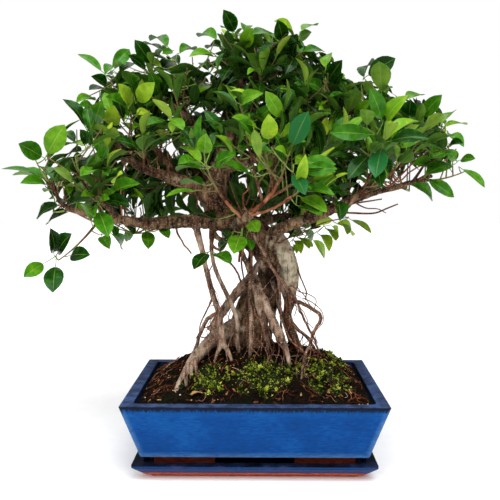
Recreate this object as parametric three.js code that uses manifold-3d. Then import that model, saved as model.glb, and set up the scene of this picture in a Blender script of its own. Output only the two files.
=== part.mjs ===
// Bonsai fig with aerial roots, planted in a rectangular glazed pot that stands on its saucer.
// Millimetres, +Z up, the front faces -Y. The origin is the centre of the saucer's flat underside.
import * as THREE from "three";
import { mergeVertices } from "three/addons/utils/BufferGeometryUtils.js";
import Module from "manifold-3d";

const wasm = await Module();
wasm.setup();

// Clearance left between two pieces that rest on each other.
const GAP = 0.3;

// Saucer: a tray with a flat flange round its basin, on a bare plinth.
const SAUCER = {
  length: 324.7,
  width: 236.7,
  height: 21.7,
  cornerRadius: 5,
  flangeWidth: 14,
  flangeEdge: 3.2,
  plinthLength: 280,
  plinthWidth: 192,
  plinthHeight: 4,
  bellyInset: 16,
  floorHeight: 14.6,
  basinSlope: 3,
};

// Pot: a box with sloping walls, a flat rim and four corner feet of bare clay.
const POT = {
  length: 350,
  width: 262,
  cornerRadius: 2.5,
  rimHeight: 104.4,
  undersideHeight: 29.6,
  taper: 23.65,
  rimWidth: 17,
  wallAtFloor: 13,
  floorThickness: 9.4,
  cavityCornerRadius: 6,
  footLength: 82,
  footDepth: 62,
  footBand: 22,
  footInset: 16,
};

// Drain holes in the pot's floor, and the plastic screens that lie over them.
const DRAIN = {
  offset: 72,
  holeRadius: 8,
  screenSize: 46,
  screenThickness: 1.2,
  screenBorder: 2.4,
  screenHoles: 4,
  screenBar: 1.6,
};

// Soil: it meets the pot's wall a little below the rim and rises in a mound to the trunk.
const SOIL = {
  edgeHeight: 99,
  rise: 60,
  peakX: 8,
  peakY: 5,
  reachLeft: 166,
  reachRight: 150,
  reachFront: 119,
  reachBack: 109,
  lengthPower: 2.6,
  widthPower: 1.7,
  roughness: 1.3,
  cellsLong: 20,
  cellsWide: 14,
};

// Moss cushions: centre and half-size in plan, on the soil. The skirt is what the soil cuts away below.
const MOSS_THICKNESS = 4.5;
const MOSS_EDGE = 1.4;
const MOSS_SKIRT = 14;
const MOSS = {
  front_left: { x: -66, y: -72, halfLength: 29, halfWidth: 21 },
  front_centre: { x: 12, y: -70, halfLength: 38, halfWidth: 26 },
  front_right: { x: 94, y: -58, halfLength: 33, halfWidth: 30 },
  right: { x: 114, y: 22, halfLength: 22, halfWidth: 30 },
  back: { x: -22, y: 66, halfLength: 40, halfWidth: 22 },
};

// Limbs of the wood, each a line of points [x, y, z, radius].
const TRUNK = {
  trunk: [
    [1, 8, 136, 27.4], [1, 8, 154, 24.5], [-2, 10, 180, 21.7], [4, 14, 209, 18.9], [19, 14, 239, 18.9],
    [26, 8, 269, 20.2], [16, 2, 298, 21.5], [-6, 0, 320, 20.8], [-33, 0, 337, 20.1], [-55, 4, 360, 19.4],
    [-60, 12, 382, 17.4],
  ],
  trunk_foot: [
    [10, 14, 246, 16], [-8, 12, 217, 17.4], [-18, 10, 189, 18.1], [-28, 8, 166, 15.9], [-38, 4, 143, 12.9],
  ],
  right_column: [
    [30, -2, 313, 12.9], [43, -8, 289, 13.5], [48, -8, 265, 14.2], [50, -6, 242, 12.1], [50, -4, 221, 7.4],
    [47, -4, 198, 5.7], [55, -8, 175, 5.7], [64, -12, 154, 5.1], [69, -14, 141, 4.2],
  ],
};

const BOUGHS = {
  leader: [
    [-58, 8, 370, 18], [-56, 18, 393, 16], [-49, 26, 421, 14.4], [-39, 30, 454, 11.8], [-18, 30, 498, 10.3],
    [-1, 26, 534, 7.4], [6, 22, 562, 3.4],
  ],
  leader_left: [[-9, 28, 516, 6.6], [-22, 22, 537, 5], [-32, 16, 556, 3]],
  leader_right: [[-2, 26, 532, 6.6], [18, 22, 542, 5], [36, 14, 550, 3]],
  upper_left: [
    [-55, 4, 360, 15.8], [-72, 2, 376, 13.6], [-95, 0, 390, 10.7], [-135, -10, 404, 7.8],
    [-168, -20, 418, 5.6], [-195, -30, 450, 3.9],
  ],
  upper_left_fork: [
    [-95, 0, 390, 7.2], [-120, 14, 413, 5.2], [-146, 24, 443, 4.1], [-159, 26, 475, 2.8],
  ],
  low_left: [
    [-39, -4, 333, 12.8], [-71, -14, 338, 10.6], [-108, -24, 337, 9.5], [-146, -34, 335, 8.3],
    [-185, -46, 341, 6.6], [-221, -58, 348, 4.9], [-257, -72, 363, 3.5], [-269, -76, 395, 2.4],
  ],
  low_left_fork: [
    [-185, -46, 341, 4.7], [-207, -70, 368, 3.5], [-222, -92, 389, 2.6], [-229, -104, 402, 1.9],
  ],
  inner_left: [[-39, 30, 454, 9.6], [-63, 26, 472, 8.1], [-93, 18, 482, 6.1], [-121, 6, 504, 4.3]],
  low_right: [
    [18, -10, 294, 11.3], [24, -18, 317, 9.9], [42, -26, 331, 8.7], [79, -36, 344, 7.5], [116, -44, 360, 6.3],
    [153, -50, 384, 5.2], [185, -50, 407, 4.1], [213, -44, 428, 3],
  ],
  low_right_fork: [[116, -44, 360, 4.9], [164, -30, 377, 4.2], [217, -16, 392, 3.4], [250, -6, 402, 2.6]],
  upper_right: [
    [-50, 24, 414, 11.7], [-14, 18, 425, 8.7], [33, 10, 436, 6.7], [80, -2, 455, 5], [121, -14, 482, 3.4],
    [147, -24, 500, 2.2],
  ],
  back_left: [[-56, 18, 393, 10], [-90, 66, 410, 7.6], [-132, 106, 425, 5.4], [-172, 128, 438, 3.2]],
  back_centre: [[-47, 28, 428, 9], [-20, 78, 448, 6.8], [0, 118, 468, 4.8], [10, 146, 492, 3]],
  back_right: [[-39, 30, 454, 8], [28, 78, 452, 6.4], [90, 112, 442, 4.8], [150, 128, 432, 3]],
  back_low: [[-20, 8, 330, 10], [24, 48, 338, 7.2], [58, 82, 344, 4.6]],
};

// A limb has four sides, and one more for each of these radii that it is thicker than.
const SIDE_STEPS = [2.5, 5, 8, 10];
const FLUTE = { fromRadius: 12, depth: 0.07 };

// Short burr on the front of the trunk, with the red-barked shoots that grow out of it.
const BURR = {
  burr: [[-33, -8, 328, 11.4], [-18, -30, 340, 9], [-5, -52, 351, 6.8]],
  burr_big: [
    [-7, -50, 350, 6.1], [5, -66, 359, 4.3], [17, -82, 371, 3.6], [27, -98, 385, 3], [34, -110, 398, 2.6],
  ],
  burr_right: [[-5, -52, 348, 2.7], [15, -76, 353, 2.4], [33, -96, 363, 2.1], [46, -110, 374, 1.9]],
  burr_left: [[-17, -36, 343, 3.6], [-31, -62, 357, 3], [-41, -80, 370, 2.6], [-49, -94, 382, 2.3]],
  burr_hook: [[-11, -50, 353, 1.8], [-16, -62, 364, 1.5], [-15, -68, 374, 1.3], [-9, -72, 384, 1.2]],
};

// Roots on the soil, and aerial roots that come down from the boughs and the trunk.
const ROOTS = {
  surface_left: [
    [-18, 2, 186, 14.4], [-38, -4, 178, 12.1], [-56, -12, 170, 10.2], [-72, -26, 157, 9.5],
    [-86, -38, 142, 8.3], [-96, -58, 129, 4.9], [-103, -76, 118, 3.7], [-107, -96, 104, 2.6],
  ],
  surface_side: [[-86, -38, 142, 4.1], [-87, -56, 133, 2.7], [-88, -72, 123, 1.9], [-89, -90, 110, 1.3]],
  aerial_1: [
    [-84, -22, 334, 5.6], [-74, -26, 295, 4.3], [-65, -30, 257, 3.9], [-58, -33, 233, 4.4],
    [-50, -36, 209, 5], [-47, -40, 180, 5.5], [-45, -42, 165, 5.8],
  ],
  aerial_1_left: [[-45, -42, 168, 4.1], [-53, -44, 154, 2.7], [-58, -49, 134, 1.9]],
  aerial_1_right: [[-44, -42, 168, 4.1], [-36, -43, 154, 3.3], [-30, -47, 136, 2.2]],
  aerial_2: [
    [-57, -7, 336, 5], [-62, -14, 306, 3.2], [-59, -20, 280, 3.1], [-51, -24, 258, 3.2], [-40, -28, 236, 3.3],
    [-31, -30, 216, 3.5], [-25, -30, 196, 3.6], [-26, -28, 175, 3.6], [-22, -25, 146, 3.1],
  ],
  aerial_3: [
    [-26, -6, 320, 5.4], [-22, -20, 302, 4.4], [-11, -26, 277, 4.2], [-1, -32, 245, 3.9], [4, -34, 220, 3.6],
    [10, -32, 197, 3.2], [16, -26, 173, 2.6], [19, -22, 148, 2.2],
  ],
  aerial_4: [
    [-10, -14, 322, 2.6], [-5, -27, 292, 2.2], [-6, -34, 268, 2.1], [-8, -44, 237, 2.6], [-6, -46, 212, 3.3],
    [-5, -46, 187, 4.2], [-6, -42, 163, 3.3], [-8, -37, 140, 2.1],
  ],
  aerial_5: [
    [-4, -10, 265, 5.7], [3, -20, 250, 5.9], [11, -28, 232, 6], [20, -34, 210, 6.5], [28, -38, 191, 7.4],
    [36, -42, 176, 6.6], [43, -46, 160, 4.4], [49, -51, 134, 2.7],
  ],
  aerial_6: [
    [13, -4, 285, 5.7], [-7, -8, 259, 5.7], [-25, -9, 237, 6.8], [-39, -8, 218, 7.1], [-52, -6, 199, 6.6],
    [-65, -6, 179, 5.7],
  ],
  aerial_7: [
    [-53, -6, 206, 3.4], [-70, 2, 193, 3], [-79, 4, 175, 2.9], [-85, 2, 158, 2.7], [-92, -5, 132, 2.3],
  ],
  aerial_8: [[-45, -2, 287, 1.8], [-30, -6, 270, 1.5], [-23, -8, 259, 1.5], [-19, -10, 243, 1.5]],
  aerial_9: [
    [-15, -40, 338, 1.8], [7, -40, 305, 2.1], [27, -44, 270, 2.1], [41, -44, 252, 2.1], [56, -40, 232, 1.9],
    [64, -34, 212, 1.8], [75, -24, 188, 1.7], [85, -14, 168, 1.7], [96, 0, 138, 1.6],
  ],
  aerial_10: [
    [49, -8, 223, 3.1], [64, -18, 222, 2.8], [79, -28, 216, 2.8], [91, -38, 207, 2.6], [89, -46, 198, 2.5],
    [80, -52, 187, 2.3], [76, -56, 171, 2], [68, -62, 156, 1.9], [65, -68, 142, 1.6], [61, -76, 120, 1.3],
  ],
  aerial_11: [
    [36, -8, 286, 2.6], [32, -20, 266, 2.1], [35, -30, 232, 1.7], [36, -34, 210, 1.7], [37, -34, 186, 1.6],
    [42, -27, 144, 1.5],
  ],
  aerial_12: [
    [48, -2, 213, 3], [52, 8, 194, 2.6], [61, 14, 179, 2.5], [76, 18, 165, 2.5], [94, 20, 138, 2.2],
  ],
  thread_right: [
    [52, -6, 283, 1.4], [61, -14, 267, 1.4], [66, -18, 255, 1.1], [71, -20, 242, 1], [72, -20, 226, 1],
  ],
  thread_left: [[-112, -25, 336, 1.7], [-108, -28, 322, 1.5], [-100, -32, 307, 1.3], [-88, -36, 294, 1.1]],
};

// Leafy shoots: where the end of each green stem is.
const SHOOT_TIPS = {
  left: [
    [-290, -78, 422], [-210, 24, 540], [-166, -50, 489], [-155, 30, 550], [-115, 20, 566], [-235, -24, 476],
    [-203, -100, 366], [-272, -62, 352], [-228, -112, 424], [-176, -112, 419], [-145, -96, 448],
    [-106, -92, 470], [-257, -96, 290],
  ],
  top: [
    [-30, 18, 592], [-70, 24, 568], [22, 10, 590], [58, 4, 576], [98, -14, 534], [9, -50, 536],
    [-19, -94, 492], [36, -104, 482], [68, -50, 520],
  ],
  right: [
    [158, -136, 439], [160, -80, 508], [224, -40, 478], [264, 8, 464], [276, -32, 438], [298, 2, 408],
    [122, -60, 492], [108, -110, 444], [196, -84, 430], [222, 14, 380],
  ],
  front: [[-62, -124, 413], [42, -136, 424], [70, -126, 396], [12, -120, 440], [-19, -58, 305]],
  low: [[72, 60, 305], [-178, 20, 318], [92, 134, 372]],
  back: [
    [-222, 92, 432], [-190, 150, 470], [-100, 180, 448], [-96, 110, 544], [16, 186, 468], [18, 104, 568],
    [120, 176, 450], [124, 96, 516], [196, 130, 460],
  ],
};
const SHOOT = { stemLength: 46, baseRadius: 1.5, tipRadius: 0.9, leaves: 6 };
const TWIG = { baseRadius: 2.3, tipRadius: 1.5, sag: 0.12, setBack: 0.5, placeSpacing: 6 };
const LEAF = { length: 54, width: 22, thickness: 1.6, arch: 3, widestAt: 0.58 };
const GOLDEN_ANGLE = (137.5 * Math.PI) / 180;
const LEAF_ATTEMPTS = 7;
const ATTEMPT_TURN = 0.9;

const point = (x, y, z) => new THREE.Vector3(x, y, z);

// Repeatable random numbers from 0 to 1.
function randomSource(seed) {
  let state = seed;
  return () => {
    state = (state * 1664525 + 1013904223) % 4294967296;
    return state / 4294967296;
  };
}

// A closed surface through rings of equal length, with a fan over each end.
function loft(rings) {
  const count = rings[0].length;
  const middle = (ring) => ring.reduce((sum, p) => sum.add(p), point(0, 0, 0)).divideScalar(count);
  const corners = [...rings.flat(), middle(rings[0]), middle(rings[rings.length - 1])];
  const firstCentre = rings.length * count;
  const lastCentre = firstCentre + 1;
  const lastRing = (rings.length - 1) * count;
  const faces = [];
  for (let i = 0; i < count; i++) {
    const next = (i + 1) % count;
    for (let base = 0; base < lastRing; base += count) {
      faces.push(base + i, base + next, base + count + next);
      faces.push(base + i, base + count + next, base + count + i);
    }
    faces.push(firstCentre, next, i);
    faces.push(lastCentre, lastRing + i, lastRing + next);
  }
  return surface(corners, faces);
}

function surface(corners, faces) {
  return new THREE.BufferGeometry().setFromPoints(corners).setIndex(faces);
}

// Joining and cutting: geometry to solid and back.
function solidOf(geometry) {
  const bare = geometry.clone();
  bare.deleteAttribute("normal");
  bare.deleteAttribute("uv");
  const merged = mergeVertices(bare, 1e-4);
  return new wasm.Manifold(
    new wasm.Mesh({
      numProp: 3,
      vertProperties: new Float32Array(merged.attributes.position.array),
      triVerts: new Uint32Array(merged.index.array),
    }),
  );
}

function geometryOf(solid) {
  const mesh = solid.getMesh();
  const geometry = new THREE.BufferGeometry();
  geometry.setAttribute("position", new THREE.BufferAttribute(mesh.vertProperties, 3));
  geometry.setIndex(new THREE.BufferAttribute(mesh.triVerts, 1));
  geometry.computeVertexNormals();
  return geometry;
}

const joined = (solids) => solids.reduce((whole, solid) => whole.add(solid));

const largestBody = (solid) => solid.decompose().sort((a, b) => b.volume() - a.volume())[0];

// A rectangle with rounded corners at one height.
function rectangleRing(length, width, radius, height) {
  const stepsPerCorner = 3;
  const ring = [];
  const signs = [[1, 1], [-1, 1], [-1, -1], [1, -1]];
  signs.forEach(([sx, sy], corner) => {
    for (let i = 0; i <= stepsPerCorner; i++) {
      const angle = (corner + i / stepsPerCorner) * (Math.PI / 2);
      const x = sx * (length / 2 - radius) + radius * Math.cos(angle);
      const y = sy * (width / 2 - radius) + radius * Math.sin(angle);
      ring.push(point(x, y, height));
    }
  });
  return ring;
}

function box(length, width, height, x, y, base) {
  return solidOf(new THREE.BoxGeometry(length, width, height).translate(x, y, base + height / 2));
}

function buildSaucer() {
  const s = SAUCER;
  const belly = s.plinthHeight + 0.01;
  const outside = solidOf(
    loft([
      rectangleRing(s.plinthLength, s.plinthWidth, s.cornerRadius, 0),
      rectangleRing(s.plinthLength, s.plinthWidth, s.cornerRadius, s.plinthHeight),
      rectangleRing(s.length - 2 * s.bellyInset, s.width - 2 * s.bellyInset, s.cornerRadius, belly),
      rectangleRing(s.length, s.width, s.cornerRadius, s.height - s.flangeEdge),
      rectangleRing(s.length, s.width, s.cornerRadius, s.height),
    ]),
  );
  const basinLength = s.length - 2 * s.flangeWidth;
  const basinWidth = s.width - 2 * s.flangeWidth;
  const slopes = 2 * s.basinSlope;
  const basin = solidOf(
    loft([
      rectangleRing(basinLength - slopes, basinWidth - slopes, s.cornerRadius, s.floorHeight),
      rectangleRing(basinLength, basinWidth, s.cornerRadius, s.height + 1),
    ]),
  );
  return outside.subtract(basin);
}

// The pot's inner space, drawn in by a clearance, with its walls carried on past the rim.
function potCavity(clearance) {
  const floor = POT.undersideHeight + POT.floorThickness;
  const floorTaper = POT.taper * (1 - POT.floorThickness / (POT.rimHeight - POT.undersideHeight));
  const floorInset = floorTaper + POT.wallAtFloor;
  const slope = (floorInset - POT.rimWidth) / (POT.rimHeight - floor);
  const above = 70;
  const insetAtTop = POT.rimWidth - slope * above + clearance;
  const insetAtFloor = floorInset + clearance;
  const radius = POT.cavityCornerRadius;
  return solidOf(
    loft([
      rectangleRing(POT.length - 2 * insetAtFloor, POT.width - 2 * insetAtFloor, radius, floor + clearance),
      rectangleRing(POT.length - 2 * insetAtTop, POT.width - 2 * insetAtTop, radius, POT.rimHeight + above),
    ]),
  );
}

// One L-shaped foot under a corner, given by the signs of its x and y.
function potFoot(sx, sy) {
  const base = SAUCER.floorHeight + GAP;
  const height = POT.undersideHeight - base + 1;
  const outerX = POT.length / 2 - POT.taper - POT.footInset;
  const outerY = POT.width / 2 - POT.taper - POT.footInset;
  const alongX = box(
    POT.footLength, POT.footBand, height,
    sx * (outerX - POT.footLength / 2), sy * (outerY - POT.footBand / 2), base,
  );
  const alongY = box(
    POT.footBand, POT.footDepth, height,
    sx * (outerX - POT.footBand / 2), sy * (outerY - POT.footDepth / 2), base,
  );
  return alongX.add(alongY);
}

function buildPot() {
  const bottomLength = POT.length - 2 * POT.taper;
  const bottomWidth = POT.width - 2 * POT.taper;
  const body = solidOf(
    loft([
      rectangleRing(bottomLength, bottomWidth, POT.cornerRadius, POT.undersideHeight),
      rectangleRing(POT.length, POT.width, POT.cornerRadius, POT.rimHeight),
    ]),
  );
  const feet = [[1, 1], [-1, 1], [-1, -1], [1, -1]].map(([sx, sy]) => potFoot(sx, sy));
  const drill = new THREE.CylinderGeometry(DRAIN.holeRadius, DRAIN.holeRadius, 60, 20).rotateX(Math.PI / 2);
  const holes = [-1, 1].map((side) =>
    solidOf(drill.clone().translate(side * DRAIN.offset, 0, POT.undersideHeight)),
  );
  return joined([body, ...feet]).subtract(potCavity(0)).subtract(joined(holes));
}

function buildScreen(side) {
  const base = POT.undersideHeight + POT.floorThickness + GAP;
  const inner = DRAIN.screenSize - 2 * DRAIN.screenBorder;
  const pitch = (inner + DRAIN.screenBar) / DRAIN.screenHoles;
  const hole = pitch - DRAIN.screenBar;
  const firstHole = (hole - inner) / 2;
  const holes = [];
  for (let i = 0; i < DRAIN.screenHoles; i++) {
    for (let j = 0; j < DRAIN.screenHoles; j++) {
      const x = side * DRAIN.offset + firstHole + i * pitch;
      const y = firstHole + j * pitch;
      holes.push(box(hole, hole, 3 * DRAIN.screenThickness, x, y, base - DRAIN.screenThickness));
    }
  }
  const plate = box(DRAIN.screenSize, DRAIN.screenSize, DRAIN.screenThickness, side * DRAIN.offset, 0, base);
  return plate.subtract(joined(holes));
}

// Height of the soil's surface at a place in plan.
function soilHeight(x, y) {
  const reachX = x < SOIL.peakX ? SOIL.reachLeft : SOIL.reachRight;
  const reachY = y < SOIL.peakY ? SOIL.reachFront : SOIL.reachBack;
  const alongX = Math.max(0, 1 - Math.pow(Math.abs(x - SOIL.peakX) / reachX, SOIL.lengthPower));
  const alongY = Math.max(0, 1 - Math.pow(Math.abs(y - SOIL.peakY) / reachY, SOIL.widthPower));
  const lumps = Math.sin(x / 9 + 1.3) * Math.sin(y / 8) + 0.6 * Math.sin(x / 21 - y / 13);
  return SOIL.edgeHeight + SOIL.rise * alongX * alongY + SOIL.roughness * lumps;
}

// A block under the soil's surface, wider than the pot, raised by a given lift.
function soilBlock(lift) {
  const base = 20;
  const columns = SOIL.cellsLong + 1;
  const rows = SOIL.cellsWide + 1;
  const corners = [];
  for (let j = 0; j < rows; j++) {
    for (let i = 0; i < columns; i++) {
      const x = POT.length * (i / SOIL.cellsLong - 0.5);
      const y = POT.width * (j / SOIL.cellsWide - 0.5);
      corners.push(point(x, y, soilHeight(x, y) + lift));
    }
  }
  const at = (i, j) => j * columns + i;
  const edge = [];
  for (let i = 0; i < SOIL.cellsLong; i++) edge.push(at(i, 0));
  for (let j = 0; j < SOIL.cellsWide; j++) edge.push(at(SOIL.cellsLong, j));
  for (let i = SOIL.cellsLong; i > 0; i--) edge.push(at(i, SOIL.cellsWide));
  for (let j = SOIL.cellsWide; j > 0; j--) edge.push(at(0, j));
  const firstLow = corners.length;
  edge.forEach((index) => corners.push(point(corners[index].x, corners[index].y, base)));
  const middle = corners.push(point(0, 0, base)) - 1;
  const faces = [];
  for (let j = 0; j < SOIL.cellsWide; j++) {
    for (let i = 0; i < SOIL.cellsLong; i++) {
      faces.push(at(i, j), at(i + 1, j), at(i + 1, j + 1));
      faces.push(at(i, j), at(i + 1, j + 1), at(i, j + 1));
    }
  }
  edge.forEach((index, k) => {
    const next = (k + 1) % edge.length;
    faces.push(firstLow + k, firstLow + next, edge[next]);
    faces.push(firstLow + k, edge[next], index);
    faces.push(middle, firstLow + next, firstLow + k);
  });
  return solidOf(surface(corners, faces));
}

function buildSoil(rootClearance) {
  const floor = POT.undersideHeight + POT.floorThickness;
  const size = DRAIN.screenSize + 2 * GAP;
  const height = DRAIN.screenThickness + 3 * GAP;
  const screens = [-1, 1].map((side) => box(size, size, height, side * DRAIN.offset, 0, floor));
  const ball = soilBlock(0).intersect(potCavity(GAP)).subtract(joined(screens));
  return largestBody(ball.subtract(rootClearance));
}

// One cushion: domed above, cut below to the soil and round the roots.
function buildMoss(patch, rootClearance, raisedSoil) {
  const rings = [0.4, 0.8, 1];
  const sides = 12;
  const low = [];
  const high = rings.map((fraction) => {
    const ring = [];
    for (let i = 0; i < sides; i++) {
      const angle = (2 * Math.PI * i) / sides;
      const wave = 1 + 0.08 * Math.sin(3 * angle + patch.x) + 0.05 * Math.sin(5 * angle);
      const x = patch.x + patch.halfLength * fraction * wave * Math.cos(angle);
      const y = patch.y + patch.halfWidth * fraction * wave * Math.sin(angle);
      const dome = MOSS_EDGE + (MOSS_THICKNESS - MOSS_EDGE) * Math.sqrt(1 - fraction * fraction);
      ring.push(point(x, y, soilHeight(x, y) + dome));
      if (fraction === 1) low.push(point(x, y, soilHeight(x, y) - MOSS_SKIRT));
    }
    return ring;
  });
  const cushion = solidOf(loft([low, ...high.reverse()]));
  return largestBody(cushion.subtract(raisedSoil).subtract(rootClearance));
}

const curveThrough = (points) =>
  new THREE.CatmullRomCurve3(points.map((p) => point(p[0], p[1], p[2])), false, "centripetal");

// A tapering limb along its points. Thick limbs get more sides, and shallow flutes.
function limb(points, grow = 0) {
  const thickest = Math.max(...points.map((p) => p[3]));
  const sides = 4 + SIDE_STEPS.filter((radius) => thickest > radius).length;
  const ringSpacing = 21 + 0.8 * thickest;
  const curve = curveThrough(points);
  const steps = Math.max(2, Math.round(curve.getLength() / ringSpacing));
  const frames = curve.computeFrenetFrames(steps, false);
  const fluting = thickest > FLUTE.fromRadius ? FLUTE.depth : 0;
  const rings = [];
  for (let i = 0; i <= steps; i++) {
    const along = curve.getUtoTmapping(i / steps) * (points.length - 1);
    const before = Math.min(Math.floor(along), points.length - 2);
    const radius = THREE.MathUtils.lerp(points[before][3], points[before + 1][3], along - before);
    const centre = curve.getPointAt(i / steps);
    if (i === 0) centre.addScaledVector(frames.tangents[i], -grow);
    if (i === steps) centre.addScaledVector(frames.tangents[i], grow);
    const ring = [];
    for (let k = 0; k < sides; k++) {
      const angle = (2 * Math.PI * k) / sides;
      const reach = radius * (1 + fluting * Math.sin(2 * angle + i)) + grow;
      const spoke = frames.normals[i].clone().multiplyScalar(Math.cos(angle));
      spoke.addScaledVector(frames.binormals[i], Math.sin(angle));
      ring.push(centre.clone().addScaledVector(spoke, reach));
    }
    rings.push(ring);
  }
  return solidOf(loft(rings));
}

// Points along each bough and burr shoot that twigs can grow from.
function carrierPoints() {
  const lines = [];
  for (const points of Object.values({ ...BOUGHS, ...BURR })) {
    const curve = curveThrough(points);
    const steps = Math.ceil(curve.getLength() / TWIG.placeSpacing);
    lines.push({ curve, steps, length: curve.getLength(), places: curve.getSpacedPoints(steps) });
  }
  return lines;
}

// The line from a bough to a shoot's tip: it leaves the bough a little before the nearest place.
function shootLine(tip, carriers) {
  let nearest = { distance: Infinity };
  for (const line of carriers) {
    line.places.forEach((place, i) => {
      const distance = place.distanceTo(tip);
      if (distance < nearest.distance) nearest = { distance, line, u: i / line.steps };
    });
  }
  const back = (TWIG.setBack * nearest.distance) / nearest.line.length;
  const start = nearest.line.curve.getPointAt(Math.max(0, nearest.u - back));
  const span = tip.clone().sub(start);
  const bend = start.clone().addScaledVector(span, 0.5);
  bend.z -= TWIG.sag * span.length();
  return new THREE.QuadraticBezierCurve3(start, bend, tip);
}

// Points of part of a shoot's line, with a radius that tapers from one end to the other.
function linePoints(line, from, to, firstRadius, lastRadius) {
  const count = 3;
  const points = [];
  for (let i = 0; i < count; i++) {
    const place = line.getPointAt(THREE.MathUtils.lerp(from, to, i / (count - 1)));
    const radius = THREE.MathUtils.lerp(firstRadius, lastRadius, i / (count - 1));
    points.push([place.x, place.y, place.z, radius]);
  }
  return points;
}

// A flat leaf with its short stalk, widest past its middle.
function leaf(base, direction, normal, length, width) {
  const side = direction.clone().cross(normal).normalize();
  const up = side.clone().cross(direction).normalize();
  const belly = base.clone().addScaledVector(direction, length * LEAF.widestAt);
  const end = base.clone().addScaledVector(direction, length).addScaledVector(up, -LEAF.arch);
  const rim = belly.clone().addScaledVector(up, LEAF.arch * 0.4);
  const right = rim.clone().addScaledVector(side, width / 2);
  const left = rim.clone().addScaledVector(side, -width / 2);
  const top = belly.clone().addScaledVector(up, LEAF.arch + LEAF.thickness / 2);
  const bottom = belly.clone().addScaledVector(up, LEAF.arch - LEAF.thickness / 2);
  const faces = [0, 2, 4, 2, 1, 4, 1, 3, 4, 3, 0, 4, 2, 0, 5, 1, 2, 5, 3, 1, 5, 0, 3, 5];
  return solidOf(surface([base, end, right, left, top, bottom], faces));
}

const boxOf = (solid) => {
  const { min, max } = solid.boundingBox();
  return new THREE.Box3(point(...min), point(...max)).expandByScalar(GAP);
};

// The leaf's stalk leaves its stem at a place from 0 to 1, turned round it by an angle.
function leafOnStem(stem, place, turn, size) {
  const base = stem.getPointAt(place);
  const along = stem.getTangentAt(place);
  const across = along.clone().cross(point(0, 0, 1)).normalize();
  const above = across.clone().cross(along).normalize();
  const outward = across.multiplyScalar(Math.cos(turn)).addScaledVector(above, Math.sin(turn));
  const lean = THREE.MathUtils.lerp(1.35, 0.4, place);
  const direction = along.clone().multiplyScalar(Math.cos(lean)).addScaledVector(outward, Math.sin(lean));
  direction.z += 0.1;
  direction.normalize();
  return leaf(base, direction, along, LEAF.length * size, LEAF.width * size);
}

// Every leaf that finds room round its stem, clear of all that stands there already.
function growLeaves(shoot, standing, random) {
  const leaves = [];
  for (let i = 0; i < SHOOT.leaves; i++) {
    const place = THREE.MathUtils.lerp(0.25, 1, i / (SHOOT.leaves - 1));
    const size = 0.8 + 0.35 * random();
    for (let attempt = 0; attempt < LEAF_ATTEMPTS; attempt++) {
      const turn = i * GOLDEN_ANGLE + shoot.turn + attempt * ATTEMPT_TURN;
      const blade = leafOnStem(shoot.stem, place, turn, size * (1 - 0.05 * attempt));
      const reach = boxOf(blade);
      const touches = (other) => other.reach.intersectsBox(reach) && blade.minGap(other.solid, GAP) < GAP;
      if (standing.some((other) => other.owner !== shoot.name && touches(other))) continue;
      leaves.push(blade);
      standing.push({ owner: shoot.name, reach, solid: blade });
      break;
    }
  }
  return leaves;
}

// All shoots: stems first, so that every leaf can keep clear of them.
function buildShoots(lines, obstacles) {
  const random = randomSource(11);
  const standing = obstacles.map((solid) => ({ owner: "", reach: boxOf(solid), solid }));
  const shoots = lines.map(({ name, line, stemFrom }) => {
    const points = linePoints(line, stemFrom, 1, SHOOT.baseRadius, SHOOT.tipRadius);
    const stem = new THREE.CatmullRomCurve3(points.map((p) => point(p[0], p[1], p[2])));
    const solid = limb(points);
    standing.push({ owner: name, reach: boxOf(solid), solid });
    return { name, stem, solid, turn: 2 * Math.PI * random() };
  });
  return shoots.map((shoot) => {
    const leaves = growLeaves(shoot, standing, random);
    return { name: shoot.name, solid: largestBody(joined([shoot.solid, ...leaves])) };
  });
}

function material(color, roughness) {
  return new THREE.MeshStandardMaterial({ color, roughness, metalness: 0 });
}

function buildBonsai() {
  const finishes = {
    glaze: material(0x1f5fa8, 0.25),
    plastic: material(0x2b2b2b, 0.6),
    soil: material(0x2c2018, 0.95),
    moss: material(0x6a8f2a, 0.95),
    bark: material(0x7d6855, 0.85),
    leaf: material(0x2f7a24, 0.35),
  };
  const group = new THREE.Group();
  const addPiece = (name, solid, finish) => {
    const mesh = new THREE.Mesh(geometryOf(solid), finish.clone());
    mesh.name = name;
    group.add(mesh);
  };

  const carriers = carrierPoints();
  const lines = [];
  for (const [side, tips] of Object.entries(SHOOT_TIPS)) {
    tips.forEach((tip, i) => {
      const line = shootLine(point(...tip), carriers);
      const stemFrom = Math.max(0.35, 1 - SHOOT.stemLength / line.getLength());
      lines.push({ name: `shoot_${side}_${i + 1}`, line, stemFrom });
    });
  }
  const twigs = lines.map(({ line, stemFrom }) => {
    const end = stemFrom - GAP / line.getLength();
    return limb(linePoints(line, 0, end, TWIG.baseRadius, TWIG.tipRadius));
  });
  const lowLimbs = Object.values({ ...TRUNK, ...ROOTS });
  const highLimbs = Object.values({ ...BOUGHS, ...BURR });
  const limbs = [...lowLimbs, ...highLimbs].map((points) => limb(points));
  const rootClearance = joined(lowLimbs.map((points) => limb(points, 1.5 * GAP)));

  addPiece("saucer", buildSaucer(), finishes.glaze);
  addPiece("pot", buildPot(), finishes.glaze);
  addPiece("drain_screen_left", buildScreen(-1), finishes.plastic);
  addPiece("drain_screen_right", buildScreen(1), finishes.plastic);
  addPiece("soil", buildSoil(rootClearance), finishes.soil);
  const raisedSoil = soilBlock(GAP);
  for (const [place, patch] of Object.entries(MOSS)) {
    addPiece(`moss_${place}`, buildMoss(patch, rootClearance, raisedSoil), finishes.moss);
  }
  addPiece("wood", joined([...limbs, ...twigs]), finishes.bark);
  for (const shoot of buildShoots(lines, [...limbs, ...twigs])) {
    addPiece(shoot.name, shoot.solid, finishes.leaf);
  }
  return group;
}

const group = buildBonsai();

export default group;
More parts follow.
